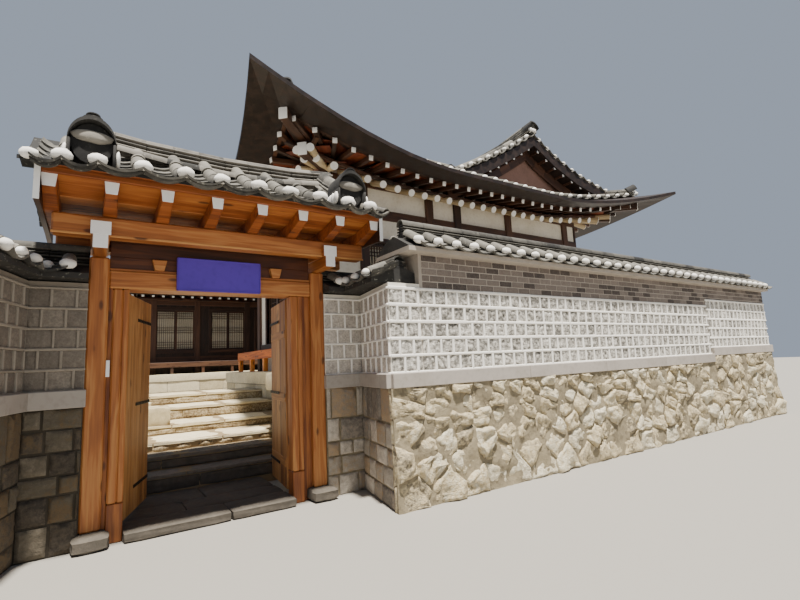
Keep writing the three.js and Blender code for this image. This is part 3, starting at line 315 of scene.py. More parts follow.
@dataclass(frozen=True)
class Clay(Finish):
    """Fired grey clay, sun-bleached, stained and blotched with lichen."""

    dark: str = "2c2b28"
    pale: str = "7f7b72"
    grain: Grain = Grain.PIECE
    lichen: float = 0.45

    def draw(self, graph: Graph) -> Material:
        """Adds the finish's nodes.

        Args:
            graph: the material's tree.

        Returns:
            The material.
        """
        place = graph.place(self.grain)
        world = graph.node("ShaderNodeTexCoord").outputs["Object"]
        stain = graph.noise(world, 3.1, 4.0)
        blotch = graph.noise(place, 14.0, 4.0)
        grit = graph.noise(place, 130.0, 2.0)
        lichen = graph.noise(place, 33.0, 3.0).band(0.62, 0.72)
        tone = graph.tone()
        level = stain * 0.45 + blotch * 0.45 + grit * 0.12 + (tone - 0.5) * 0.45
        colour = graph.ramp(level, [(0.28, self.dark), (0.75, self.pale)])
        colour = graph.mix(lichen * self.lichen, colour, tint("b9b6a6"))
        return graph.finish(colour, 0.78 + blotch * 0.15, blotch * 0.6 + grit * 0.4, 0.003)


@dataclass(frozen=True)
class Stone(Finish):
    """Natural or cast stone, from hewn granite to rubble, block and brick."""

    shades: tuple[str, ...] = ("6f6a61", "97907f", "c3bba6")
    speck: str = "4a4640"
    speck_share: float = 0.35
    stain_scale: float = 5.0
    relief: float = 0.006
    tone_share: float = 0.6
    mottle_and_shade: float = 0.45
    grain: Grain = Grain.PIECE

    def draw(self, graph: Graph) -> Material:
        """Adds the finish's nodes.

        Args:
            graph: the material's tree.

        Returns:
            The material.
        """
        place = graph.place(self.grain)
        stain = graph.noise(place, self.stain_scale, 5.0)
        patch = graph.noise(place, self.stain_scale * 4.3, 4.0)
        grit = graph.noise(place, 90.0, 3.0)
        specks = 1 - graph.cells(place, 120.0).band(0.12, 0.4)
        tone = graph.tone()
        # Dark patches by the mottle share: real mottling, and in the street blocks and rubble also painted
        # shade of the relief and crevices.
        level = (stain * (1 - self.tone_share) + tone * self.tone_share + (patch - 0.5) * self.mottle_and_shade
            + (grit - 0.5) * 0.25)
        count = len(self.shades)
        stops = [(0.12 + 0.76 * i / (count - 1), s) for i, s in enumerate(self.shades)]
        colour = graph.mix(specks * self.speck_share, graph.ramp(level, stops), tint(self.speck))
        rough = patch * 0.5 + grit * 0.35 + stain * 0.3
        return graph.finish(colour, 0.82 + grit * 0.12, rough, self.relief)


@dataclass(frozen=True)
class Lime(Finish):
    """Lime plaster, mortar or paint with soft stains and trowel marks; in the rubble mortar the dark stains
    also paint the shade in the crevices.
    """

    base: str = "e6e0d3"
    stain: str = "b3a892"
    dirt_and_shade: float = 0.5
    relief: float = 0.0025
    grain: Grain = Grain.PIECE

    def draw(self, graph: Graph) -> Material:
        """Adds the finish's nodes.

        Args:
            graph: the material's tree.

        Returns:
            The material.
        """
        place = graph.place(self.grain)
        cloud = graph.noise(place, 2.2, 5.0)
        patch = graph.noise(place, 19.0, 4.0)
        grit = graph.noise(place, 160.0, 2.0)
        # Stains mixed in by share; in the rubble mortar they also stand for painted shade in the crevices.
        level = (cloud.band(0.4, 0.75) * 0.6 + patch.band(0.45, 0.75) * 0.5) * self.dirt_and_shade
        colour = graph.mix(level.clamp(), tint(self.base), tint(self.stain))
        return graph.finish(colour, 0.86, patch * 0.55 + grit * 0.4, self.relief)


@dataclass(frozen=True)
class Metal(Finish):
    """Iron straps and painted sheet metal with worn, uneven gloss."""

    dark: str = "15120f"
    worn: str = "3b342c"
    metallic: float = 0.6
    polish: float = 0.45
    grain: Grain = Grain.PIECE

    def draw(self, graph: Graph) -> Material:
        """Adds the finish's nodes.

        Args:
            graph: the material's tree.

        Returns:
            The material.
        """
        place = graph.place(self.grain)
        patch = graph.noise(place, 9.0, 4.0)
        grit = graph.noise(place, 140.0, 2.0)
        level = patch.band(0.35, 0.8) * 0.8 + grit * 0.15
        colour = graph.mix(level.clamp(), tint(self.dark), tint(self.worn))
        return graph.finish(colour, self.polish + patch * 0.25, grit * 0.5 + patch * 0.5, 0.0012,
            Metallic=self.metallic)


WARM_TIMBER = Timber("warm_timber", "timber", "6a3413", "a9662f", "d39d5c")
DOOR_TIMBER = Timber("door_timber", "timber", "754723", "b07a42", "dcab70")
# Darker copy of the warm timber for the gate's rafters, soffit boards and fascia: painted shade under the
# eaves.
SHADED_SOFFIT_TIMBER = Timber("soffit_timber", "timber", "5f2b0d", "9a5321", "c27f3f")
HEAD_TIMBER = Timber("head_timber", "dark_timber", "2c1409", "4d2712", "70401f")
VERGE_TIMBER = Timber("verge_timber", "dark_timber", "23120a", "43240f", "6a3b1d", Grain.Y)
HOUSE_TIMBER = Timber("house_timber", "dark_timber", "1f120c", "3c2417", "5d3c28", knots=0.4)
# Bright orange timber of the west veranda: its own orange, made paler and brighter as painted light on the
# shaded floor.
PAINTED_LIGHT_FLOOR = Timber("floor_timber", "timber", "a04c12", "dc7826", "f9ad58")
DARK_FLOOR = Timber("dark_floor", "dark_timber", "2c1a10", "4a2e1c", "6b4a30")
FLOOR_TIMBER_SLAB = Timber("floor_timber_slab", "timber", "4c2510", "7a4622", "a56b35", Grain.X)
SOFFIT_BOARD = Timber("soffit_board", "timber", "4a1f10", "74351c", "94502c")
RAW_TIMBER = Timber("raw_timber", "timber", "94805f", "b9a684", "d8cbae", knots=0.3)
ROOF_CLAY = Clay("roof_clay", "roof_tile")
# Dark clay of the end tiles; also the painted shade of the ridge cores and of the end tiles' hollows.
DARK_CLAY = Clay("dark_clay", "roof_tile", "11100f", "3f3d3a", lichen=0.08)
PALE_CLAY = Clay("pale_clay", "roof_tile", "262522", "847f76", lichen=0.25)
RIDGE_CLAY = Clay("ridge_clay", "roof_tile", "191817", "5f5c55", lichen=0.2)
CORE_CLAY = Clay("core_clay", "roof_tile", "1b1a18", "3d3b38", Grain.X)
PLUG_LIME = Lime("plug_lime", "plaster", "f4f1ea", "b9b2a4", 0.55, 0.004)
END_PAINT = Lime("end_paint", "plaster", "fafbfb", "d3d4d4", 0.3, 0.0008)
WALL_PLASTER = Lime("wall_plaster", "plaster", "e9e4d8", "b6aa92", 0.45, 0.0025, Grain.X)
WALL_MORTAR = Lime("wall_mortar", "plaster", "f8f5ee", "cdc7ba", 0.45, 0.004)
BAND_STONE = Lime("band_stone", "granite", "a9a198", "82796f", 0.6, 0.002)
# Darker copies of the mortar and plaster for the left wall: painted shade.
PAINTED_SHADE_MORTAR = Lime("painted_shade_mortar", "plaster", "9a9184", "6f675b", 0.5, 0.004)
LEFT_SHADE_PLASTER = Lime("left_painted_shade_plaster", "plaster", "8d8478", "655d52", 0.5, 0.004, Grain.X)
# Rubble mortar: its dark stains are partly painted shade in the crevices between the stones.
BED_MORTAR = Lime("bed_mortar", "rubble", "94886e", "564c3a", 0.95, 0.02)
# Dark mortar for the left rubble: dark joints, deepened as painted shade.
LEFT_SHADE_JOINT = Lime("left_painted_shade_joint", "rubble", "3f382c", "241f18", 0.9, 0.01)
# Darker plaster for the tall wall and its coping body: painted shadow of the coping over the brick zone.
STREET_SHADE_PLASTER = Lime("street_painted_shade_plaster", "plaster", "aba195", "82786c", 0.45, 0.0025, Grain.X)
GABLE_CLAY = Lime("gable_clay", "plaster", "8f6d60", "6a5147", 0.6, 0.003, Grain.X)
# Street wall blocks: the strong dark mottle is partly real speckle and partly painted shade of the hewn
# relief.
FIELD_BLOCK = Stone("field_block", "block", ("54514b", "8f8b83", "c6c1b7", "e8e4da"), relief=0.02,
    stain_scale=6.5, tone_share=0.3, mottle_and_shade=1.7)
# Paler copy of the block finish for the recess and yard walls: painted bounce light in the shade.
PAINTED_BOUNCE_BLOCK = Stone("painted_bounce_block", "block", ("88817a", "c0b8ae", "e4dcd1"), relief=0.010, stain_scale=12.0,
    tone_share=0.4, mottle_and_shade=1.0)
# Darker copy of the block finish for the left wall: painted shade.
PAINTED_SHADE_BLOCK = Stone("painted_shade_block", "block", ("534c44", "7b7267", "a49a8c"), relief=0.008, stain_scale=12.0)
WALL_BRICK = Stone("wall_brick", "block", ("3f3733", "72675f", "92877d"), relief=0.004, stain_scale=14.0,
    tone_share=0.75)
# Rubble stones: the strong mottle and the darkest shade partly paint the shade in the crevices.
RUBBLE_STONE = Stone("rubble_stone", "rubble", ("6f6552", "a69a80", "c0af8a", "c9bd9f", "c6bda6", "e4dac0"),
    relief=0.035, stain_scale=6.0, tone_share=0.45, mottle_and_shade=1.1)
# Greyer stones for the rubble beside the gate: their own grey-brown, darkened as painted shade.
RECESS_SHADE_STONE = Stone("recess_painted_shade_stone", "rubble", ("6a635a", "8f867a", "a58c6c", "9d9486", "ada497", "c9bfb0"),
    relief=0.012, stain_scale=6.0, tone_share=0.7)
# Darker stones for the left rubble: their own brown, darkened as painted shade.
LEFT_SHADE_STONE = Stone("left_painted_shade_stone", "rubble", ("352f28", "51483c", "66543b", "5a5244", "6a6152", "827866"),
    relief=0.016, stain_scale=6.0, tone_share=0.6)
OCHRE_STONE = Stone("ochre_stone", "granite", ("5d4e3a", "8f7c5d", "b3a384", "cfc2a4"), relief=0.014,
    stain_scale=9.0, tone_share=0.3, mottle_and_shade=1.3)
STEP_GRANITE = Stone("step_granite", "granite", ("9a8d70", "c8b995", "e8dcbc"), relief=0.006,
    stain_scale=4.0)
# Dark stone for the gate's base stones, threshold and two lowest steps: painted shade of the gate roof.
SHADED_THRESHOLD_STONE = Stone("threshold_painted_shade_stone", "granite", ("3f3a33", "5e574d", "857c70"), relief=0.006,
    stain_scale=4.0)
PODIUM_GRANITE = Stone("podium_granite", "granite", ("8f8778", "b7ae9c", "dcd5c4"), relief=0.004,
    stain_scale=3.0, grain=Grain.X)
IRON = Metal("iron", "dark_timber")
ROOF_SHEET = Metal("roof_sheet", "roof_tile", "1d1512", "3a2a23", 0.25, 0.4, Grain.X)
SIGN_PAINT = Lime("sign_paint", "sign", "5a3fb4", "402b86", 0.4, 0.001)
SCREEN_PAPER = Lime("screen_paper", "plaster", "cfc5ae", "a29679", 0.5, 0.0006)
DARK_BOARD = Timber("dark_board", "dark_timber", "21140d", "3c281b", "584031", Grain.Z)


@dataclass(frozen=True)
class Shape:
    """A small closed mesh held as arrays, ready to be copied many times."""

    points: Array
    corners: Array
    sides: Array

    @staticmethod
    def of(mesh: Mesh) -> "Shape":
        """Reads a finished bmesh and frees it.

        Args:
            mesh: the closed mesh.

        Returns:
            Its points and faces, with faces pointing outwards.
        """
        bmesh.ops.recalc_face_normals(mesh, faces=mesh.faces)
        mesh.verts.index_update()
        points = np.array([v.co[:] for v in mesh.verts])
        corners = np.array([v.index for f in mesh.faces for v in f.verts])
        sides = np.array([len(f.verts) for f in mesh.faces])
        mesh.free()
        return Shape(points, corners, sides)

    def stretched(self, size: Point) -> Array:
        """Gives the points of a unit shape at a real size, with its edge bevels kept.

        Args:
            size: length, width and height in metres.

        Returns:
            The moved points.
        """
        size = np.asarray(size)
        edge = np.sign(self.points) * (size / 2 - (0.5 - np.abs(self.points)))
        return np.where(np.abs(self.points) > 0.42, edge, self.points * size)


def new_cube() -> Mesh:
    """Starts a bmesh with a cube, one along each side.

    Returns:
        The bmesh.
    """
    mesh = bmesh.new()
    bmesh.ops.create_cube(mesh, size=1.0)
    return mesh


def chamfered(mesh: Mesh, width: float, edges: Sequence[bmesh.types.BMEdge] = ()) -> Mesh:
    """Chamfers some edges of a mesh, or all where none are given."""
    bmesh.ops.bevel(mesh, geom=edges or mesh.edges[:], offset=width, segments=1, profile=0.5,
        affect="EDGES", material=-1)
    return mesh


def cut_away(mesh: Mesh, place: Point, normal: Point) -> list[object]:
    """Cuts off what lies beyond a plane and gives the new rim."""
    geometry = mesh.verts[:] + mesh.edges[:] + mesh.faces[:]
    return bmesh.ops.bisect_plane(mesh, geom=geometry, dist=1e-5, plane_co=place, plane_no=normal,
        clear_outer=True)["geom_cut"]


@lru_cache(maxsize=None)
def cube(chamfer: float) -> Shape:
    """Makes a unit cube with chamfered edges, to be stretched to its real size."""
    return Shape.of(chamfered(new_cube(), chamfer) if chamfer > 0 else new_cube())


def cube_for(size: Point, chamfer: float) -> Shape:
    """Gives the unit cube for a size, with a chamfer that suits its thinnest side."""
    return cube(round(min(chamfer, 0.3 * float(min(size))), 4))


@lru_cache(maxsize=None)
def rough_cube(variant: int, cuts: int, chip: float, corner: float) -> Shape:
    """Makes a unit cube of hewn stone, to be stretched to its real size.

    Args:
        variant: which of the random shapes.
        cuts: extra edges along each side.
        chip: how far the faces swell and dip.
        corner: how far the corners are rounded off.

    Returns:
        The shape.
    """
    mesh = new_cube()
    bmesh.ops.subdivide_edges(mesh, edges=mesh.edges[:], cuts=cuts, use_grid_fill=True)
    for vert in mesh.verts:
        p = vert.co
        edge = sum(1 for c in p if abs(c) > 0.499)
        push = noise.noise(p * 3.7 + Vector((variant * 5.3, 0, 0))) * chip * 2.0
        push += noise.noise(p * 9.1 + Vector((0, variant * 3.1, 0))) * chip
        inward = corner * (edge - 1)
        vert.co = Vector([c - math.copysign(inward if abs(c) > 0.499 else 0.0, c) for c in p])
        vert.co += p.normalized() * push
    return Shape.of(mesh)


@lru_cache(maxsize=None)
def hewn(variant: int, cuts: int, chip: float) -> Shape:
    """Makes a unit cube whose front is roughly hewn.

    Args:
        variant: which of the random shapes.
        cuts: extra edges along each side of the front.
        chip: how far the front swells and dips.

    Returns:
        The shape, to be stretched to its real size.
    """
    mesh = new_cube()
    rim = [e for e in mesh.edges if all(v.co.y < 0 for v in e.verts)]
    bmesh.ops.subdivide_edges(mesh, edges=rim, cuts=cuts, use_grid_fill=True)
    shift = Vector((variant * 5.3, variant * 2.1, 0))
    for vert in mesh.verts:
        if vert.co.y < 0:
            reach = max(abs(vert.co.x), abs(vert.co.z))
            push = noise.noise(vert.co * 4.3 + shift) + 0.7 * noise.noise(vert.co * 9.7 + shift)
            vert.co.y -= chip * (0.4 + push) if reach < 0.499 else -0.3 * chip
    return Shape.of(mesh)


def bent_sheet(segments: int, thickness: float, bend: Callable[[float], Span]) -> Shape:
    """Makes a roof tile, one long, with y running down the slope.

    Args:
        segments: faces across.
        thickness: of the clay.
        bend: gives x and z for a place across, from -0.5 to 0.5.

    Returns:
        The shape.
    """
    mesh = bmesh.new()
    bmesh.ops.create_grid(mesh, x_segments=segments, y_segments=1, size=0.5)
    for vert in mesh.verts:
        vert.co.x, vert.co.z = bend(vert.co.x)
    bmesh.ops.solidify(mesh, geom=mesh.faces[:], thickness=thickness)
    return Shape.of(mesh)


@lru_cache(maxsize=None)
def trough(segments: int) -> Shape:
    """Makes a concave roof tile, one wide, hollow side up."""
    return bent_sheet(segments, 0.018, lambda x: (x, 0.045 * (4 * x ** 2 - 1)))


@lru_cache(maxsize=None)
def barrel(segments: int, thickness: float = 0.14) -> Shape:
    """Makes a convex roof tile, one wide and half high."""
    return bent_sheet(segments, thickness,
        lambda x: (0.5 * math.sin(x * math.pi), 0.5 * math.cos(x * math.pi)))


@lru_cache(maxsize=None)
def lump(variant: int, detail: int = 2) -> Shape:
    """Makes a hand-formed ball of lime, one across.

    Args:
        variant: which of the random shapes.
        detail: how finely it is divided.

    Returns:
        The shape.
    """
    mesh = bmesh.new()
    bmesh.ops.create_icosphere(mesh, subdivisions=detail, radius=0.5)
    for vert in mesh.verts:
        vert.co *= 1 + 0.16 * noise.noise(vert.co * 3.1 + Vector((variant * 4.7, 1, 2)))
    return Shape.of(mesh)


@lru_cache(maxsize=None)
def rod(segments: int, chamfer: float = 0.04) -> Shape:
    """Makes a round bar, one long along x and one across.

    Args:
        segments: faces round it.
        chamfer: bevel at both ends, as a share of the width.

    Returns:
        The shape.
    """
    mesh = bmesh.new()
    bmesh.ops.create_cone(mesh, cap_ends=True, segments=segments, radius1=0.5, radius2=0.5, depth=1.0,
        matrix=Matrix.Rotation(math.pi / 2, 4, "Y"))
    rims = [e for e in mesh.edges if abs(e.verts[0].co.x - e.verts[1].co.x) < 1e-6]
    return Shape.of(chamfered(mesh, chamfer, rims))


def unit(vector: Iterable[float]) -> Array:
    """Gives the vector at length one."""
    array = np.asarray(vector, float)
    return array / np.linalg.norm(array)


def axes_along(direction: Point) -> Array:
    """Makes axes whose first one runs in a direction and whose last one points up.

    Args:
        direction: where local x points.

    Returns:
        The three axes as rows.
    """
    x = unit(direction)
    y = unit(np.cross(UP, x))
    return np.array([x, y, np.cross(x, y)])


class Batch:
    """Many small things of one finish, joined into one mesh."""

    def __init__(self, name: str, finish: Finish, body: str = "root", crease: float = 35.0) -> None:
        """Starts an empty batch.

        Args:
            name: of the finished piece.
            finish: its finish.
            body: the body that it rides on.
            crease: edges sharper than this many degrees stay sharp.
        """
        self.name, self.finish, self.body, self.crease = name, finish, body, crease
        self.rng = random.Random(name)
        self.points: list[Array] = []
        self.grains: list[Array] = []
        self.tones: list[Array] = []
        self.corners: list[Array] = []
        self.sides: list[Array] = []
        self.count = 0

    def put(self, shape: Shape, place: Point, axes: Array = WORLD_AXES, size: Point | None = None,
            scale: Point | None = None, tone: float | None = None, grain_axis: int = 0) -> None:
        """Adds one copy of a shape.

        Args:
            shape: what is copied.
            place: where its middle goes.
            axes: its local axes as rows.
            size: real size for a unit shape whose bevels are kept, or none.
            scale: plain factors instead of a size, or none.
            tone: shade of this copy from 0 to 1, or none for a random one.
            grain_axis: local axis that the grain runs along.
        """
        local = shape.points
        if size is not None:
            local = shape.stretched(size)
        elif scale is not None:
            local = shape.points * np.asarray(scale)
        shift = [self.rng.uniform(-40, 40) for _ in range(3)]
        self.points.append(local @ axes + np.asarray(place, float))
        self.grains.append(np.roll(local, -grain_axis, axis=1) + shift)
        self.tones.append(np.full(len(local), self.rng.random() if tone is None else tone))
        self.corners.append(shape.corners + self.count)
        self.sides.append(shape.sides)
        self.count += len(local)

    def box(self, low: Point, high: Point, chamfer: float, along: int = 0,
            tone: float | None = None) -> None:
        """Adds a chamfered box.

        Args:
            low: lowest corner.
            high: highest corner.
            chamfer: width of its chamfers.
            along: axis that the grain runs along.
            tone: shade, or none for a random one.
        """
        a, b = np.asarray(low, float), np.asarray(high, float)
        self.put(cube_for(b - a, chamfer), (a + b) / 2, size=b - a, tone=tone, grain_axis=along)

    def boxes(self, rows: Iterable[Sequence[float]], along: int = 0) -> None:
        """Adds several boxes.

        Args:
            rows: both x, both y, both z, chamfer and, where it isn't random, tone of each.
            along: axis that the grain runs along.
        """
        for x0, x1, y0, y1, z0, z1, chamfer, *tone in rows:
            self.box((x0, y0, z0), (x1, y1, z1), chamfer, along, *tone)

    def bar(self, start: Point, end: Point, width: float, height: float, chamfer: float = 0.004) -> None:
        """Adds a chamfered bar.

        Args:
            start: middle of one end.
            end: middle of the other end.
            width: across, level.
            height: across, upright.
            chamfer: width of its chamfers.
        """
        a, b = np.asarray(start, float), np.asarray(end, float)
        size = (float(np.linalg.norm(b - a)), width, height)
        self.put(cube_for(size, chamfer), (a + b) / 2, axes_along(b - a), size=size)

    def pole(self, start: Array, end: Array, width: float, tone: float | None = None) -> None:
        """Adds a round bar between two points."""
        scale = (float(np.linalg.norm(end - start)), width, width)
        self.put(rod(12), (start + end) / 2, axes_along(end - start), scale=scale, tone=tone)

    def mesh(self, mesh: Mesh, tone: float = 0.5) -> None:
        """Adds a bmesh that is already in place."""
        self.put(Shape.of(mesh), (0, 0, 0), tone=tone)

    def take(self, other: "Batch") -> None:
        """Moves everything of another batch into this one.

        Args:
            other: the batch that is emptied.
        """
        self.points += other.points
        self.grains += other.grains
        self.tones += other.tones
        self.corners += [corners + self.count for corners in other.corners]
        self.sides += other.sides
        self.count += other.count

    def build(self, *replaced: str) -> None:
        """Makes the piece from everything that was added.

        Args:
            replaced: CAD nodes that the piece stands for.
        """
        sides, corners = np.concatenate(self.sides), np.concatenate(self.corners)
        data = bpy.data.meshes.new(self.name)
        data.vertices.add(self.count)
        data.vertices.foreach_set("co", np.concatenate(self.points).astype(np.float32).ravel())
        data.loops.add(len(corners))
        data.loops.foreach_set("vertex_index", corners.astype(np.int32))
        data.polygons.add(len(sides))
        starts = np.concatenate(([0], np.cumsum(sides)[:-1]))
        data.polygons.foreach_set("loop_start", starts.astype(np.int32))
        data.polygons.foreach_set("loop_total", sides.astype(np.int32))
        data.polygons.foreach_set("use_smooth", np.ones(len(sides), bool))
        data.update(calc_edges=True)
        data.set_sharp_from_angle(angle=math.radians(self.crease))
        tone = data.attributes.new("tone", "FLOAT", "POINT")
        tone.data.foreach_set("value", np.concatenate(self.tones).astype(np.float32))
        grain = data.attributes.new("grain", "FLOAT_VECTOR", "POINT")
        grain.data.foreach_set("vector", np.concatenate(self.grains).astype(np.float32).ravel())
        made = bpy.data.objects.new(self.name, data)
        bpy.context.scene.collection.objects.link(made)
        data.materials.append(self.finish.material())
        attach(made, self.body)
        if replaced:
            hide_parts(*replaced)
        LOG.info("%s: %d faces", self.name, len(sides))


def build_all(*batches: Batch) -> None:
    """Makes the pieces of several batches."""
    for batch in batches:
        batch.build()


def dress(finish: Finish, *nodes: str) -> None:
    """Gives CAD nodes a finish.

    Args:
        finish: what they get.
        nodes: their names.
    """
    for name in nodes:
        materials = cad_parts[name].data.materials
        materials.clear()
        materials.append(finish.material())


@dataclass
class GateFrame:
    """Posts, jambs, lintel, head panel and the beams that carry the gate's roof."""

    jamb_strip: float = 0.034
    jamb_step: float = 0.028
    filler_step: float = 0.05
    scarf: float = 0.31
    bracket_x: Span = (-0.562, 0.528)
    bracket_z: Span = (2.300, 2.398)
    plate_z: Span = (1.355, 1.495)

    def build(self) -> None:
        """Builds all of the frame."""
        self.build_posts()
        self.build_head()
        self.build_beams()
        self.build_stones()

    def build_posts(self) -> None:
        """Stands the posts and the jambs, each jamb with a set-back strip beside its post."""
        posts = Batch("gate_post_timber", WARM_TIMBER)
        for side in SIDES:
            near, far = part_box(f"gate_post_{side}")
            posts.box(near, far, 0.014, 2, 0.55)
            low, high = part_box(f"door_jamb_{side}")
            inner, slit = low.x + self.jamb_strip, (low.x, far.x)
            strip, stile = (low.x, inner), (inner, high.x)
            if side == "right":
                inner, slit = high.x - self.jamb_strip, (high.x, near.x)
                strip, stile = (inner, high.x), (low.x, inner)
            middle, fill = sum(stile) / 2 + 0.012, low.y + self.filler_step
            posts.boxes(((*strip, low.y + self.jamb_step, high.y, 0.0, high.z, 0.003, 0.1),
                (stile[0], middle, low.y, high.y, self.scarf, high.z, 0.012, 0.62),
                (middle, stile[1], low.y + 0.008, high.y, self.scarf, high.z, 0.008, 0.5),
                (*stile, low.y, high.y, 0.0, self.scarf - 0.002, 0.006, 0.22),
                (min(slit) - 0.004, max(slit) + 0.004, fill, fill + 0.05, 0.0, high.z, 0.003, 0.3)), 2)
        posts.build("gate_post_left", "gate_post_right", "door_jamb_left", "door_jamb_right")

    def build_head(self) -> None:
        """Lays the lintel and the boarded panel above it with its two bearing blocks."""
        low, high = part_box("gate_lintel")
        head = Batch("gate_lintel_timber", WARM_TIMBER)
        head.box(low, high, 0.012, 0, 0.62)
        for x in self.bracket_x:
            block = new_cube()
            for vert in block.verts:
                upper = vert.co.z > 0
                half = math.copysign(0.062 if upper else 0.038, vert.co.x)
                vert.co = (x + half, 0.03 + vert.co.y * 0.07, self.bracket_z[upper])
            head.mesh(chamfered(block, 0.005), 0.75)
        head.box((low.x, 0.028, high.z), (high.x, 0.05, high.z + 0.022), 0.004, tone=0.5)
        head.build("gate_lintel")
        low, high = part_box("head_panel")
        panel = Batch("gate_head_boards", HEAD_TIMBER)
        rise = (high.z - low.z) / 3
        for row in range(3):
            z = low.z + rise * row
            panel.box((low.x, low.y + 0.004 * row, z), (high.x, high.y, z + rise), 0.004)
        panel.build("head_panel")

    def build_beams(self) -> None:
        """Lays cross beams and eave purlins, paints the ends white and hangs the bare plate."""
        beams = Batch("gate_beam_timber", WARM_TIMBER)
        paint = Batch("gate_white_ends", END_PAINT)
        for side in SIDES:
            low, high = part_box(f"cross_beam_{side}")
            middle, shoulder = (low.x + high.x) / 2, low.z + 0.11
            depth = (low.y + 0.006, high.y - 0.006)
            beams.boxes(((middle - 0.05, middle + 0.05, *depth, low.z, shoulder, 0.006),
                (low.x, high.x, *depth, shoulder, high.z, 0.008)), 1)
            for y in (low.y, high.y - 0.006):
                paint.boxes(((middle - 0.052, middle + 0.052, y, y + 0.006, low.z - 0.001, shoulder, 0.002),
                    (low.x - 0.001, high.x + 0.001, y, y + 0.006, shoulder, high.z + 0.001, 0.002)))
        for side in ("front", "rear"):
            low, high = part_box(f"eave_purlin_{side}")
            face = low.y if side == "front" else high.y
            beams.boxes(((low.x + 0.004, high.x - 0.004, low.y, high.y, low.z + 0.004, high.z, 0.014, 0.5),
                (low.x + 0.002, high.x - 0.002, face - 0.006, face + 0.006, low.z, low.z + 0.02, 0.004,
                0.95)))
        beams.build("cross_beam_left", "cross_beam_right", "eave_purlin_front", "eave_purlin_rear")
        for side, face in zip(SIDES, (-1.4475, 1.4215)):
            low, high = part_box(f"verge_board_{side}")
            for y in (low.y - 0.004, high.y - 0.002):
                paint.box((face, y, 2.634), (face + 0.038, y + 0.006, 2.915), 0.002)
        dress(VERGE_TIMBER, "verge_board_left", "verge_board_right")
        paint.box((-0.953, 0.004, self.plate_z[0]), (-0.926, 0.015, self.plate_z[1]), 0.002)
        paint.build()

    @staticmethod
    def build_stones() -> None:
        """Sets the base stones and the paved threshold."""
        # The dark threshold stone paints the shade under the gate roof.
        stones = Batch("gate_stones", SHADED_THRESHOLD_STONE)
        for index, side in enumerate(SIDES):
            low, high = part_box(f"base_stone_{side}")
            stones.put(rough_cube(index, 4, 0.006, 0.012), (low + high) / 2, size=high - low, tone=0.35)
        low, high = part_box("gate_threshold")
        rows = (low.y, 0.28, 0.62, high.y)
        for row, (start, end) in enumerate(zip(rows, rows[1:])):
            split = low.x + (high.x - low.x) * (0.58, 0.36, 0.52)[row]
            for x0, x1 in ((low.x, split), (split, high.x)):
                stones.put(rough_cube(row + 3, 5, 0.004, 0.008),
                    ((x0 + x1) / 2, (start + end) / 2, (low.z + high.z) / 2),
                    size=(x1 - x0 - 0.006, end - start - 0.006, high.z - low.z), tone=0.3)
        stones.build("base_stone_left", "base_stone_right", "gate_threshold")


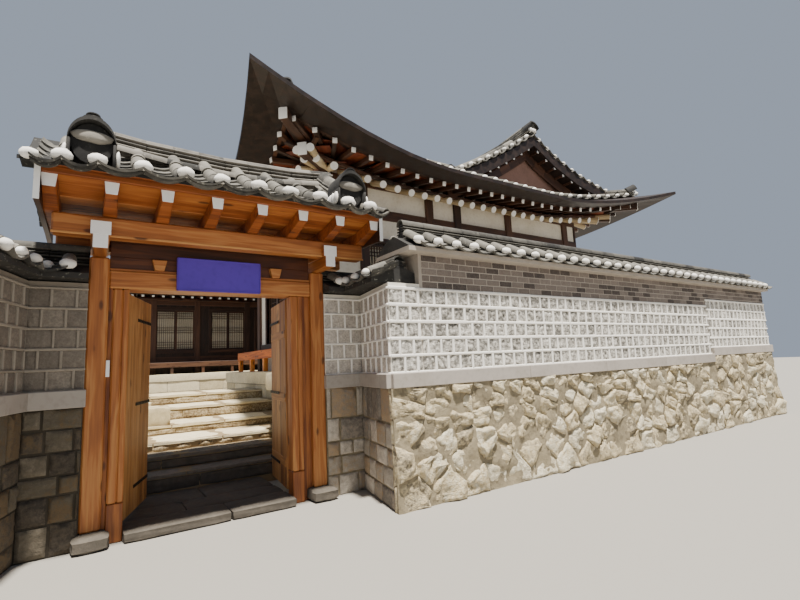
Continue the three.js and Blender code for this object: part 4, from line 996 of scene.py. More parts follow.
@dataclass
class GateRafters:
    """Level rafters with upturned painted tips, soffit boards and fascia."""

    first_x: float = -1.362
    pitch: float = 0.391
    count: int = 8
    width: float = 0.095
    middle_y: float = 0.075
    turn: float = 0.37
    reach: float = 0.69
    foot: float = 2.67
    top: float = 2.79
    tip_foot: float = 2.755
    tip_top: float = 2.85
    ends: Span = (-1.41, 1.423)

    def build(self) -> None:
        """Builds the rafters, their painted ends and the boards over them."""
        # The darker soffit timber paints the shade under the gate's eaves.
        rafters = Batch("gate_rafter_timber", SHADED_SOFFIT_TIMBER)
        paint = Batch("gate_rafter_ends", END_PAINT)
        for index in range(self.count):
            for side in (-1, 1):
                x = self.first_x + index * self.pitch
                rafters.mesh(self.rafter(x, side), 0.25 + 0.08 * (index % 3))
                paint.mesh(self.tip(x, side))
        self.board_over(rafters)
        rafters.build("gate_rafters_front", "gate_rafters_rear")
        paint.build()

    def rafter(self, x: float, side: int) -> Mesh:
        """Makes one rafter.

        Args:
            x: its middle along the street.
            side: -1 for the street side, 1 for the yard side.

        Returns:
            The rafter in place.
        """
        made = new_cube()
        lengthwise = [e for e in made.edges if abs(e.verts[0].co.y - e.verts[1].co.y) > 0.5]
        bmesh.ops.subdivide_edges(made, edges=lengthwise, cuts=1)
        for vert in made.verts:
            step, upper = round(vert.co.y * 2 + 1), vert.co.z > 0
            levels = (self.tip_foot, self.tip_top) if step == 2 else (self.foot, self.top)
            narrow = 0.8 if step == 2 and not upper else 1.0
            vert.co = (x + vert.co.x * self.width * narrow,
                self.middle_y + side * (0.002, self.turn, self.reach)[step], levels[upper])
        return chamfered(made, 0.004)

    def tip(self, x: float, side: int) -> Mesh:
        """Makes the painted end of one rafter, wider at its top.

        Args:
            x: its middle along the street.
            side: -1 for the street side, 1 for the yard side.

        Returns:
            The thin end in place.
        """
        made = new_cube()
        y = self.middle_y + side * (self.reach + 0.003)
        for vert in made.verts:
            upper = vert.co.z > 0
            vert.co = (x + vert.co.x * self.width * (1.04 if upper else 0.82), y + vert.co.y * 0.008,
                self.tip_top if upper else self.tip_foot - 0.001)
        return chamfered(made, 0.0015)

    def board_over(self, batch: Batch) -> None:
        """Adds soffit boards in lapped rows, the fascia and the tilting strip above it.

        Args:
            batch: where they go.
        """
        (left, right), top, tip = self.ends, self.top, self.tip_top
        for side in (-1, 1):
            for near, far, low, high in ((0.0, 0.19, top, top), (0.185, 0.375, top, top + 0.002),
                    (0.37, 0.53, top + 0.004, top + 0.034), (0.525, 0.70, top + 0.032, tip + 0.004)):
                start = np.array((left, self.middle_y + side * near, low + 0.011))
                end = np.array((right, self.middle_y + side * far, high + 0.011))
                across = unit((0, *(end - start)[1:]))
                axes = np.array([(1.0, 0.0, 0.0), across, np.cross((1.0, 0.0, 0.0), across)])
                width = math.dist(start[1:], end[1:])
                batch.put(cube(0.003), (start + end) / 2, axes, size=(right - left, width, 0.02))
            y = self.middle_y + side * (self.reach + 0.018)
            out = y + side * 0.028
            batch.boxes(((left, right, y - 0.018, y + 0.018, tip, tip + 0.06, 0.004, 0.15),
                (left - 0.03, right + 0.03, out - 0.018, out + 0.018, tip + 0.05, tip + 0.082, 0.004, 0.3)))


@dataclass
class SignBoard:
    """The bare painted board over the doorway, in a plain rim."""

    rim: float = 0.012

    def build(self) -> None:
        """Builds the board with its raised rim."""
        low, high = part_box("sign_board")
        board = Batch("sign_panel", SIGN_PAINT)
        front, rim = (low.y, low.y + 0.008), self.rim
        board.boxes(((low.x, high.x, low.y + 0.006, high.y - 0.001, low.z, high.z, 0.004),
            (low.x, high.x, *front, low.z, low.z + rim, 0.003),
            (low.x, high.x, *front, high.z - rim, high.z, 0.003),
            (low.x, low.x + rim, *front, low.z, high.z, 0.003),
            (high.x - rim, high.x, *front, low.z, high.z, 0.003)))
        board.build("sign_board")


@dataclass
class DoorLeaf:
    """One plank leaf with ledges, iron straps and its pivots."""

    side: str
    pivot: Span
    turn: float
    width: float = 0.742
    hang: float = 0.022
    thickness: float = 0.042
    low: float = 0.112
    high: float = 2.10
    plank_count: int = 5
    strap_z: tuple[float, ...] = (0.32, 1.07, 1.87)
    ledge_z: tuple[float, ...] = (0.33, 1.0, 1.68)

    def build(self) -> None:
        """Builds the planks with their pivots, and the straps with their pins."""
        turn = math.radians(self.turn)
        face = WallFace(self.pivot, (self.pivot[0] + math.cos(turn), self.pivot[1] + math.sin(turn)))
        half, width = self.thickness / 2, self.width
        wood = Batch(f"leaf_{self.side}_planks", DOOR_TIMBER, f"leaf_{self.side}")
        step = (width + self.hang) / self.plank_count
        for index in range(self.plank_count):
            start = index * step - self.hang
            face.panel(wood, (start + 0.001, start + step - 0.001), (self.low, self.high),
                (0.008 - half, half), grain_axis=2)
        for z in self.ledge_z:
            face.panel(wood, (0.0, width - 0.03), (z, z + 0.09), (-half, 0.009 - half), shape=cube(0.003),
                tone=0.4)
        wood.pole(face.point(0, 0, self.low - 0.022), face.point(0, 0, self.high + 0.018), 0.032, 0.2)
        wood.build(f"door_leaf_{self.side}")
        iron = Batch(f"leaf_{self.side}_straps", IRON, f"leaf_{self.side}")
        for z in self.strap_z:
            for out in ((half - 0.0002, half + 0.0047), (-half - 0.0047, 0.0002 - half)):
                face.panel(iron, (width * 0.36, width + 0.003), (z, z + 0.03), out, 0.001, grain_axis=2)
            face.panel(iron, (width - 0.004, width + 0.004), (z, z + 0.03), (-half - 0.004, half + 0.004),
                0.001, grain_axis=2)
            for index in range(5):
                for out in (half + 0.004, -half - 0.004):
                    place = face.point(width * (0.40 + index * 0.14), out, z + 0.015)
                    iron.put(lump(1, 1), place, scale=(0.014,) * 3)
        iron.build()


class RoofRun:
    """Rows of clay tiles laid down one sloping surface."""

    def __init__(self, name: str, surface: Surface, fine: bool = False, shown: Test = lambda a,
            d: True) -> None:
        """Starts the tiles, the lime plugs and the rules for where they go.

        Args:
            name: front part of the pieces' names.
            surface: gives the point at a place along the eave and an inset from it.
            fine: whether the tiles are near the street and have more faces.
            shown: whether a tile at that place is laid.
        """
        self.surface, self.shown = surface, shown
        self.trough = trough(10 if fine else 5)
        self.barrel = barrel(8 if fine else 5)
        self.tiles, self.plugs = tile_batches(name)
        self.rng = random.Random(name)

    def axes_at(self, along: float, inset: float, step: float) -> tuple[Array, Array]:
        """Finds the slope at a place.

        Args:
            along: place along the eave.
            inset: distance in from the eave.
            step: how far apart the slope is measured.

        Returns:
            The point and the axes: across, down the slope and out of it.
        """
        low, high = self.surface(along, inset - step / 2), self.surface(along, inset + step / 2)
        down = unit(low - high)
        across = self.surface(along + 0.05, inset) - self.surface(along - 0.05, inset)
        normal = unit(np.cross(across, down))
        if normal[2] < 0:
            normal = -normal
        return (low + high) / 2, np.array([unit(np.cross(down, normal)), down, normal])

    def lay(self, hollow: bool, along: float, width: float, start: float, end: float, course: float,
            lift: float) -> None:
        """Lays one row of tiles.

        Args:
            hollow: whether they are the concave ones.
            along: middle of the row.
            width: of the tiles.
            start: inset of its lower end.
            end: inset of its upper end.
            course: how much of each tile shows.
            lift: how high the tiles' edges stand over the surface.
        """
        count = max(1, round((end - start) / course))
        step = (end - start) / count
        for index in range(count):
            inset = start + (index + 0.5) * step
            if not self.shown(along, inset):
                continue
            point, (across, down, normal) = self.axes_at(along, inset, step)
            shift = self.rng.uniform(-0.003, 0.003) if hollow else self.rng.uniform(-0.004, 0.004)
            down = unit(down + normal * (0.016 / step if hollow else 0.02))
            axes = np.array([across, down, np.cross(across, down)])
            if hollow:
                self.tiles.put(self.trough, point + normal * (lift + shift), axes, grain_axis=1,
                    scale=(width, step * 1.22, 1.0), tone=self.rng.uniform(0.1, 0.7))
            else:
                self.tiles.put(self.barrel, point + normal * lift + across * shift, axes, grain_axis=1,
                    scale=(width, step * 1.02, width * 0.95), tone=self.rng.uniform(0.45, 1.0))

    def plug(self, along: float, inset: float, lift: float, width: float) -> None:
        """Closes the lower end of a convex row with lime.

        Args:
            along: middle of the row.
            inset: where the plug's middle is.
            lift: its height over the surface.
            width: of the plug.
        """
        if self.shown(along, inset):
            point, axes = self.axes_at(along, inset, 0.05)
            size = np.array([width * self.rng.uniform(0.92, 1.12) for _ in range(3)]) * (1, 0.8, 0.74)
            self.plugs.put(lump(self.rng.randrange(6)), point + axes[2] * lift, axes, scale=size,
                tone=self.rng.random())


def tile_batches(name: str) -> tuple[Batch, Batch]:
    """Starts the tile piece and the lime piece of a roof."""
    return Batch(f"{name}_tiles", ROOF_CLAY, crease=60), Batch(f"{name}_lime", PLUG_LIME, crease=80)


def join_runs(name: str, runs: Iterable[RoofRun]) -> None:
    """Makes the tile piece and the lime piece of several runs.

    Args:
        name: front part of the pieces' names.
        runs: what they are made of.
    """
    tiles, plugs = tile_batches(name)
    for run in runs:
        tiles.take(run.tiles)
        plugs.take(run.plugs)
    build_all(tiles, plugs)


def stack_ridge(batch: Batch, path: Sequence[Array], width: float, layers: int, thickness: float,
        cap: float, tile: float = 0.26, taper: float = 0.9, gaps: Batch | None = None) -> None:
    """Stacks layers of flat tiles along a ridge and caps them with convex tiles.

    Args:
        batch: where the tiles go.
        path: points along the foot of the ridge.
        width: of the lowest layer.
        layers: how many there are.
        thickness: height of one layer.
        cap: width of the convex cap.
        tile: length of one tile.
        taper: width of each layer over the one below it.
        gaps: batch for the dark core between the layers, which paints the shade in the gaps, or none for
            the same batch.
    """
    for layer in range(layers + 1):
        rise = (0, 0, thickness * layers - 0.004 if layer == layers else thickness * (layer + 0.5))
        for start, end in zip(path, path[1:]):
            count = max(1, round(math.dist(start, end) / tile))
            piece = math.dist(start, end) / count
            for index in range(count):
                a = start + (end - start) * index / count
                b = start + (end - start) * (index + 1) / count
                axes, middle = axes_along(b - a), (a + b) / 2 + rise
                if layer == layers:
                    turned = np.array([-axes[1], axes[0], axes[2]])
                    batch.put(barrel(8), middle, turned, scale=(cap, piece * 1.02, cap * 0.9), grain_axis=1)
                    continue
                wide = width * taper ** layer * batch.rng.uniform(0.97, 1.03)
                share, inset = (0.42, 0.08) if gaps else (0.74, 0.05)
                batch.put(cube(0.005), middle, axes, size=(piece * 0.995, wide, thickness * share),
                    tone=0.3 if layer % 2 else 0.95)
                # The core, in the darkest tone, paints the shade between the layers.
                (gaps or batch).put(cube(0.005), middle, axes, tone=0.0,
                    size=(piece * 1.01, wide - inset, thickness * 1.02))


@dataclass
class GateRoof:
    """Tiled gate roof: two slopes, main ridge, verge ridges and their end tiles."""

    rows: tuple[float, ...] = (-1.46, -1.28, -1.069, -0.774, -0.474, -0.194, 0.114, 0.403, 0.69, 0.985,
        1.227, 1.42)
    middle_y: float = 0.075
    reach: float = 0.875
    ridge_top: float = 3.37
    fall: float = 0.515
    sag: float = 0.22
    droop: float = 0.03
    end_tile_x: Span = (-1.11, 1.06)
    ridge_line: tuple[Span, ...] = ((-1.2, 0.05), (-0.7, 0.005), (0.0, -0.015), (0.7, 0.01), (1.2, 0.06))

    def slope(self, side: int) -> Surface:
        """Gives the surface that the tiles of one side lie on.

        Args:
            side: -1 for the street side, 1 for the yard side.

        Returns:
            A function of the place along the street and the inset from the eave.
        """
        def surface(along: float, inset: float) -> Array:
            """Finds a point of the slope.

            Args:
                along: place along the eave.
                inset: distance in from it.

            Returns:
                The point.
            """
            share = 1 - inset / self.reach
            z = self.ridge_top - self.fall * share - self.sag * share * (1 - share)
            z -= self.droop * share * abs(along / 1.45) ** 4
            return np.array([along, self.middle_y + side * self.reach * share, z])
        return surface

    def build(self) -> None:
        """Lays both slopes and all the ridges."""
        for side, name in ((-1, "gate_roof_front"), (1, "gate_roof_rear")):
            dress(CORE_CLAY, name)
            run = RoofRun(name, self.slope(side), True)
            for left, right in zip(self.rows, self.rows[1:]):
                middle, width = (left + right) / 2, right - left
                run.lay(True, middle, width, -0.02, 0.84, 0.135, 0.075)
                run.lay(True, middle, width * 0.99, -0.005, 0.03, 0.04, 0.052)
            for x in self.rows[1:-1]:
                run.lay(False, x, 0.118, 0.06, 0.84, 0.27, 0.062)
                run.plug(x, 0.03, 0.09, 0.138)
            run.lay(False, self.rows[0], 0.10, 0.05, 0.2, 0.2, 0.05)
            run.plug(self.rows[0], 0.03, 0.075, 0.11)
            run.lay(False, self.rows[-1], 0.07, 0.02, 0.84, 0.27, 0.07)
            build_all(run.tiles, run.plugs)
        self.build_ridges()

    def build_ridges(self) -> None:
        """Stacks the main ridge and the verge ridges, with end tiles and lime at their feet."""
        ridge = Batch("gate_ridge_tiles", PALE_CLAY, crease=50)
        dark = Batch("gate_end_tiles", DARK_CLAY, crease=50)
        lime = Batch("gate_ridge_lime", PLUG_LIME, crease=80)
        path = [np.array([x, self.middle_y, 3.29 + z]) for x, z in self.ridge_line]
        # The gate ridge's core goes in with the dark end tiles: painted shade between the layers.
        stack_ridge(ridge, path, 0.31, 5, 0.042, 0.13, taper=0.93, gaps=dark)
        for side in (-1, 1):
            foot = [np.array([x * 0.78, self.middle_y + side * 0.24, 3.262 + z]) for x,
                z in self.ridge_line]
            stack_ridge(ridge, foot, 0.1, 0, 0.01, 0.12)
        for x in self.end_tile_x:
            for side in (-1, 1):
                points = [self.slope(side)(x, d) + (0, 0, 0.07) for d in (0.21, 0.32, 0.45, 0.58, 0.72)]
                stack_ridge(ridge, points, 0.235, 4, 0.036, 0.15, 0.15)
                self.add_end_tile(dark, ridge, lime, x, side)
        ridge.build("gate_ridge", "verge_ridge_left", "verge_ridge_right")
        build_all(lime, dark)

    def add_end_tile(self, dark: Batch, ridge: Batch, lime: Batch, x: float, side: int) -> None:
        """Stands the arched end tile at the foot of a verge ridge.

        Args:
            dark: batch for the end tile and for the painted shade in its hollow.
            ridge: batch for the small tile in front of it.
            lime: batch for the lime around its foot.
            x: middle of the ridge.
            side: -1 for the street side, 1 for the yard side.
        """
        foot = self.slope(side)(x, 0.17)
        out, across = np.array([0, float(side), 0]), np.array([float(side), 0, 0])
        axes = np.array([across, out, np.cross(across, out)])
        crown = foot + (0, 0, 0.18)
        dark.put(barrel(18, 0.07), crown, axes, scale=(0.31, 0.26, 0.4), tone=0.35)
        for edge in (-0.145, 0.145):
            dark.put(cube(0.006), foot + across * edge + (0, 0, 0.09), axes, size=(0.022, 0.26, 0.19),
                tone=0.3)
        # A dark disc and a dark block in the arch's hollow are painted shade.
        dark.put(rod(24, 0.02), crown + out * 0.05, np.array([out, across, UP]), scale=(0.06, 0.27, 0.32),
            tone=0.0)
        dark.put(cube(0.006), foot + (0, 0, 0.08) - out * 0.03, axes, size=(0.27, 0.1, 0.17), tone=0.0)
        ridge.put(lump(2, 3), crown + out * 0.085 + (0, 0, 0.055), axes, scale=(0.275, 0.05, 0.1), tone=0.9)
        for index in range(2):
            dark.put(barrel(8), crown + (0, 0, 0.188 + 0.022 * index) + out * 0.02, axes,
                scale=(0.13 - 0.035 * index, 0.18, 0.06), tone=0.2)
        for offset in (-0.168, 0.168):
            for step in range(4):
                spot = foot + across * offset + out * (0.09 - 0.06 * step) + (0, 0, 0.085)
                lime.put(lump(step), spot, scale=(0.035, 0.09, 0.13), tone=0.5)


@dataclass(frozen=True)
class WallFace:
    """One upright face of a wall, with its outside on the right of the way from start to end."""

    start: Span
    end: Span

    @property
    def length(self) -> float:
        """Length of the face along the ground."""
        return math.dist(self.start, self.end)

    @property
    def axes(self) -> Array:
        """Directions along the face, into the wall and up."""
        along = unit((self.end[0] - self.start[0], self.end[1] - self.start[1], 0.0))
        return np.array([along, np.cross(UP, along), UP])

    def point(self, along: float, out: float, z: float) -> Array:
        """Gives the place at a distance from the start, in front of the face and up."""
        return np.array([*self.start, z]) + self.axes[0] * along - self.axes[1] * out

    def panel(self, batch: Batch, along: Span, z: Span, out: Span, chamfer: float = 0.004,
            shape: Shape | None = None, tone: float | None = None, grain_axis: int = 0) -> None:
        """Adds one box or stone to the face.

        Args:
            batch: where it goes.
            along: its start and end along the face.
            z: its lowest and highest level.
            out: its back and its front, measured outwards from the face.
            chamfer: width of its chamfers.
            shape: a unit shape to use in place of the chamfered box.
            tone: shade, or none for a random one.
            grain_axis: local axis of its grain.
        """
        size = (along[1] - along[0], out[1] - out[0], z[1] - z[0])
        if min(size) > 0.001:
            middle = self.point(sum(along) / 2, sum(out) / 2, sum(z) / 2)
            batch.put(shape or cube_for(size, chamfer), middle, self.axes, size=size, tone=tone,
                grain_axis=grain_axis)


def rubble_stone(seed: Span, others: Sequence[Span], limits: tuple[float, float, float, float],
        swell: float, rng: random.Random, cuts: int) -> Shape:
    """Makes one rubble stone that fills the space around its seed.

    Args:
        seed: place along the face and height of its middle.
        others: the same for its neighbours.
        limits: lowest and highest place along, lowest and highest height.
        swell: how far it stands out.
        rng: source of its random tilt.
        cuts: how finely its surface is divided.

    Returns:
        The stone, with x along the face, y into it and z up.
    """
    mesh = bmesh.new()
    place = Matrix.Translation((seed[0], 0.02, seed[1])) @ Matrix.Rotation(math.pi / 2, 4, "X")
    bmesh.ops.create_grid(mesh, x_segments=1, y_segments=1, size=1.0, matrix=place)
    low_u, high_u, low_v, high_v = limits
    planes = [((low_u, 0, 0), (-1, 0, 0)), ((high_u, 0, 0), (1, 0, 0)), ((0, 0, low_v), (0, 0, -1)),
        ((0, 0, high_v), (0, 0, 1))]
    gap = rng.uniform(0.008, 0.018)
    for other in others:
        way = Vector((other[0] - seed[0], 0, other[1] - seed[1]))
        planes.append((Vector((seed[0], 0, seed[1])) + way / 2 - way.normalized() * gap / 2, way))
    for spot, normal in planes:
        cut_away(mesh, spot, normal)
    grown = bmesh.ops.extrude_face_region(mesh, geom=mesh.faces[:])
    front = [g for g in grown["geom"] if isinstance(g, bmesh.types.BMFace)]
    tilt_u, tilt_v = rng.uniform(-0.16, 0.16), rng.uniform(-0.22, 0.12)
    for vert in front[0].verts:
        lean = (vert.co.x - seed[0]) * tilt_u + (vert.co.z - seed[1]) * tilt_v
        vert.co.y -= 0.02 + swell * 0.45 + lean
    bmesh.ops.recalc_face_normals(mesh, faces=mesh.faces)
    for thickness, depth in ((0.014, swell * 0.3), (0.03, swell * 0.25)):
        bmesh.ops.inset_individual(mesh, faces=front, thickness=thickness, depth=depth)
    if cuts:
        bmesh.ops.poke(mesh, faces=front)
        bmesh.ops.subdivide_edges(mesh, edges=mesh.edges[:], cuts=cuts, use_grid_fill=True)
        bmesh.ops.triangulate(mesh, faces=[f for f in mesh.faces if len(f.verts) > 4])
    shift = Vector((rng.uniform(0, 90), 0, 0))
    for vert in mesh.verts:
        if vert.co.y < 0.01:
            spot = vert.co.copy()
            push = noise.noise(spot * 7 + shift) + 0.6 * noise.noise(spot * 19 + shift)
            vert.co.y -= min(swell, 0.05) * 0.75 * (push + 0.35 * noise.noise(spot * 41 + shift))
            vert.co.x += noise.noise(spot * 12 - shift) * 0.02
            vert.co.z += noise.noise(spot * 12 + shift * 2) * 0.02
    return Shape.of(mesh)


def mortar_bed(length: float, top: float, batter: float, depth: float) -> Shape:
    """Makes the rough sheet of mortar that fills the joints of rubble.

    Args:
        length: of the wall face.
        top: height of the rubble.
        batter: how far its foot stands out further than its top.
        depth: how far the mortar stands out on average.

    Returns:
        The sheet, with x along the face, y into it and z up.
    """
    mesh = bmesh.new()
    place = Matrix.Translation((length / 2, 0, top / 2)) @ Matrix.Rotation(math.pi / 2, 4, "X")
    bmesh.ops.create_grid(mesh, x_segments=max(2, round(length / 0.05)), y_segments=round(top / 0.05),
        size=0.5, matrix=place @ Matrix.Diagonal((length, top, 1, 1)))
    for vert in mesh.verts:
        swell = noise.noise(vert.co * 5.5) + 0.7 * noise.noise(vert.co * 17)
        vert.co.y -= batter * (1 - vert.co.z / top) + depth * (1 + 0.8 * swell)
    bmesh.ops.solidify(mesh, geom=mesh.faces[:], thickness=0.012)
    return Shape.of(mesh)


@dataclass(frozen=True)
class Rubble:
    """Rubble masonry laid in rough courses."""

    course: Span = (0.15, 0.27)
    length: Span = (0.2, 0.46)
    swell: Span = (0.03, 0.075)
    batter: float = 0.04
    bed: float = 0.034

    def lay(self, batch: Batch, bed: Batch, face: WallFace, along: Span, top: float, cuts: int) -> None:
        """Covers one face with stones and fills their joints.

        Args:
            batch: where the stones go.
            bed: where the mortar goes.
            face: the wall face.
            along: start and end of the stonework along the face.
            top: its highest level.
            cuts: how finely each stone is divided.
        """
        rng = batch.rng
        sheet = mortar_bed(along[1] - along[0], top, self.batter, self.bed)
        bed.put(sheet, face.point(along[0], 0.0, 0.0), face.axes)
        seeds, z = [], 0.0
        while z < top:
            height = min(rng.uniform(*self.course), top - z)
            if top - z - height < self.course[0] * 0.6:
                height = top - z
            u = along[0] - rng.uniform(0.0, 0.2)
            while u < along[1]:
                length = rng.uniform(*self.length) * (0.6 + height * 2.2)
                seeds.append((u + length / 2, z + height * rng.uniform(0.36, 0.64)))
                u += length
            z += height
        inside = [s for s in seeds if along[0] + 0.04 < s[0] < along[1] - 0.04]
        for seed in inside:
            near = [s for s in inside if s is not seed and math.dist(s, seed) < 0.95]
            near.sort(key=lambda s: math.dist(s, seed))
            stone = rubble_stone(seed, near[:16], (along[0], along[1], 0.0, top), rng.uniform(*self.swell),
                rng, cuts)
            lean = self.batter * (1 - seed[1] / top)
            batch.put(stone, face.point(0.0, lean, 0.0), face.axes)


def faces_through(*corners: Span) -> tuple[WallFace, ...]:
    """Makes the faces of a wall from corner to corner."""
    return tuple(WallFace(a, b) for a, b in zip(corners, corners[1:]))


@dataclass
class PropertyWall:
    """Street wall, gate recess walls and left wall: rubble, band, blocks, bricks and plaster."""

    band: Span = (1.12, 1.262)
    block_pitch: float = 0.167
    block_rows: int = 5
    brick: Span = (0.205, 0.0702)
    brick_rows: int = 5
    brick_base: float = 2.112
    band_step: float = 0.11
    step_at: float = 6.61
    street_step_at: float = 6.23
    street: WallFace = WallFace((1.72, -0.9), (10.54, -0.9))
    corner: WallFace = WallFace((1.34, -0.9), (1.72, -0.9))
    whole: WallFace = WallFace((1.34, -0.9), (10.54, -0.9))
    recess: tuple[WallFace, ...] = faces_through((1.063, 0.0), (1.52, 0.0), (1.34, -0.9))
    left: tuple[WallFace, ...] = faces_through((-3.2, -0.9), (-1.75, -0.9), (-1.5, 0.0), (-1.1, 0.0))
    yard: tuple[WallFace, ...] = (WallFace((1.72, 0.35), (1.063, 0.35)),
        WallFace((1.72, -0.5), (1.72, 0.35)),
        *faces_through((-1.1, 0.35), (-1.83, 0.35), (-2.08, -0.5), (-3.2, -0.5), (-3.2, -0.9)))
    back: tuple[WallFace, ...] = (WallFace((10.54, -0.5), (1.72, -0.5)),
        WallFace((10.54, -0.9), (10.54, -0.5)))

    def build(self) -> None:
        """Builds the seen faces finely and the hidden ones with fewer faces."""
        dress(BED_MORTAR, "left_wall_base", "right_low_wall_base", "street_wall_base")
        dress(WALL_PLASTER, "right_low_wall")
        # The left wall's darker plaster is painted shade.
        dress(LEFT_SHADE_PLASTER, "left_wall")
        # The tall wall's plaster is darkened as the painted shadow of its coping.
        dress(STREET_SHADE_PLASTER, "street_wall")
        self.build_rubble()
        self.build_band()
        joints = Batch("wall_joints", WALL_MORTAR)
        blocks = Batch("street_wall_blocks", FIELD_BLOCK, crease=60)
        self.lay_blocks(blocks, joints, self.street, (0.0, self.street_step_at), 0.0, 7)
        self.lay_blocks(blocks, joints, self.street, (self.street_step_at, self.street.length),
            self.band_step, 5)
        self.lay_blocks(blocks, joints, self.corner, (0.0, self.corner.length), 0.0, 7)
        blocks.build()
        # Darker joints for the left wall: painted shade.
        shade_joints = Batch("left_wall_joints", PAINTED_SHADE_MORTAR)
        # The recess and yard walls take the paler block copy, painted bounce light; the left wall takes
        # darker copies, painted shade.
        for name, faces, cuts, finish, seams in (("recess", self.recess, 5, PAINTED_BOUNCE_BLOCK, joints),
                ("left", self.left, 5, PAINTED_SHADE_BLOCK, shade_joints),
                ("yard", (*self.yard, *self.back), 1, PAINTED_BOUNCE_BLOCK, joints)):
            shaded = Batch(f"{name}_wall_blocks", finish, crease=60)
            for face in faces:
                self.lay_blocks(shaded, seams, face, (0.0, face.length), 0.0, cuts, 0.021)
            shaded.build()
        build_all(joints, shade_joints)
        self.build_bricks()

    def build_rubble(self) -> None:
        """Lays the rubble base of all faces, with squared stones beside the gate."""
        rough = Rubble()
        bed = Batch("rubble_mortar", BED_MORTAR, crease=60)
        near = Batch("street_rubble", RUBBLE_STONE, crease=75)
        rough.lay(near, bed, self.whole, (-0.03, self.step_at), self.band[0], 3)
        rough.lay(near, bed, self.whole, (self.step_at, self.whole.length), self.band[0] + self.band_step,
            2)
        near.build()
        # The recess and left rubble take darker stone finishes, and the left a dark mortar: painted shade.
        joint = Batch("left_rubble_joints", LEFT_SHADE_JOINT)
        for name, finish, faces, sheet in (("recess", RECESS_SHADE_STONE, self.recess, bed),
                ("left", LEFT_SHADE_STONE, self.left, joint)):
            side = Batch(f"{name}_rubble", finish, crease=75)
            for face in faces:
                sheet.put(mortar_bed(face.length, self.band[0], 0.0, 0.004), face.point(0, 0, 0), face.axes)
                self.lay_squared(side, face)
            side.build()
        rear = Batch("yard_rubble", RUBBLE_STONE, crease=75)
        for face in (*self.yard, *self.back):
            rough.lay(rear, bed, face, (0.0, face.length), self.band[0], 0)
        build_all(joint, rear, bed)

    def lay_squared(self, stones: Batch, face: WallFace) -> None:
        """Lays roughly squared stones in uneven courses under the band.

        Args:
            stones: where they go.
            face: the wall face.
        """
        rng, z, top = stones.rng, 0.0, self.band[0]
        while z < top - 0.01:
            height = rng.uniform(0.15, 0.25)
            if top - z - height < 0.12:
                height = top - z
            u = -rng.uniform(0.0, 0.14)
            while u < face.length:
                width, gap = rng.uniform(0.16, 0.34), rng.uniform(0.006, 0.014)
                sides = (max(u, 0.0) + gap, min(u + width, face.length) - gap)
                face.panel(stones, sides, (z + gap, z + height - gap), (-0.03, rng.uniform(0.01, 0.022)),
                    shape=hewn(rng.randrange(16), 5, 0.014))
                u += width
            z += height

    def build_band(self) -> None:
        """Lays the smooth stone band over the rubble."""
        band = Batch("wall_band", BAND_STONE)
        for face in (self.whole, *self.recess, *self.left, *self.yard, *self.back):
            cuts = [0.0]
            while cuts[-1] < face.length - 2.1:
                cuts.append(cuts[-1] + band.rng.uniform(1.5, 1.9))
            cuts.append(face.length)
            if face is self.whole:
                cuts = sorted([c for c in cuts if abs(c - self.step_at) > 0.3] + [self.step_at])
            for index, (a, b) in enumerate(zip(cuts, cuts[1:])):
                lift = self.band_step if face is self.whole and a > self.step_at - 0.01 else 0.0
                a_out = 0.016 if index == 0 else -0.0015
                b_out = 0.016 if index == len(cuts) - 2 else -0.0015
                face.panel(band, (a - a_out, b + b_out), (self.band[0] + lift, self.band[1] + lift),
                    (-0.01, 0.06), 0.006, tone=0.5)
        band.build()

    def lay_blocks(self, blocks: Batch, joints: Batch, face: WallFace, along: Span, lift: float, cuts: int,
            joint: float = 0.03) -> None:
        """Lays courses of hewn blocks with raised joints.

        Args:
            blocks: batch for the blocks.
            joints: batch for the joints.
            face: the wall face.
            along: start and end along it.
            lift: how far the courses start over the lower band.
            cuts: how finely each block is divided.
            joint: width of the joints.
        """
        pitch, rng, edge = self.block_pitch, blocks.rng, joint * 0.3
        for row in range(self.block_rows + 1):
            z, u = self.band[1] + lift + row * pitch, along[0]
            while u < along[1]:
                length = min(rng.uniform(0.5, 0.9), along[1] - u)
                half = joint * rng.uniform(0.85, 1.15) / 2
                face.panel(joints, (u - 0.004, u + length + 0.004), (z - half, z + half),
                    (-0.01, 0.019 + rng.uniform(-0.002, 0.002)), 0.007)
                u += length
            if row == self.block_rows:
                break
            u = along[0] - pitch * (0.5 if row % 2 else 0.02)
            while u < along[1] - 0.02:
                width = pitch * rng.uniform(0.9, 1.12)
                a, b = max(u, along[0]), min(u + width, along[1])
                face.panel(blocks, (a + edge, b - edge), (z + edge, z + pitch - edge),
                    (-0.03, rng.uniform(0.003, 0.007)), tone=rng.uniform(0.3, 0.7),
                    shape=hewn(rng.randrange(16), cuts, 0.0015 * (cuts + 1)))
                if b < along[1] - 0.01:
                    half = joint * rng.uniform(0.8, 1.1) / 2
                    face.panel(joints, (b - half, b + half), (z + joint * 0.4, z + pitch - joint * 0.4),
                        (-0.01, 0.018), 0.006)
                u += width

    def build_bricks(self) -> None:
        """Lays the brick courses over the blocks of the tall wall."""
        bricks = Batch("street_wall_bricks", WALL_BRICK)
        (length, pitch), gap = self.brick, 0.0055
        for face in (self.street, *self.back):
            edge = 0.035 if face is self.street else 0.0
            for row in range(self.brick_rows):
                z = self.brick_base + row * pitch
                u = edge - (length / 2 if row % 2 else 0.0)
                while u < face.length - 0.02:
                    a, b = max(u, edge), min(u + length, face.length)
                    if not (face is self.street and a > 6.2 and row == 0):
                        face.panel(bricks, (a + gap, b - gap), (z + gap, z + pitch - gap),
                            (-0.01, bricks.rng.uniform(0.003, 0.006)),
                            tone=bricks.rng.choice((0.1, 0.4, 0.5, 0.6, 0.7)))
                    u += length
        bricks.build()


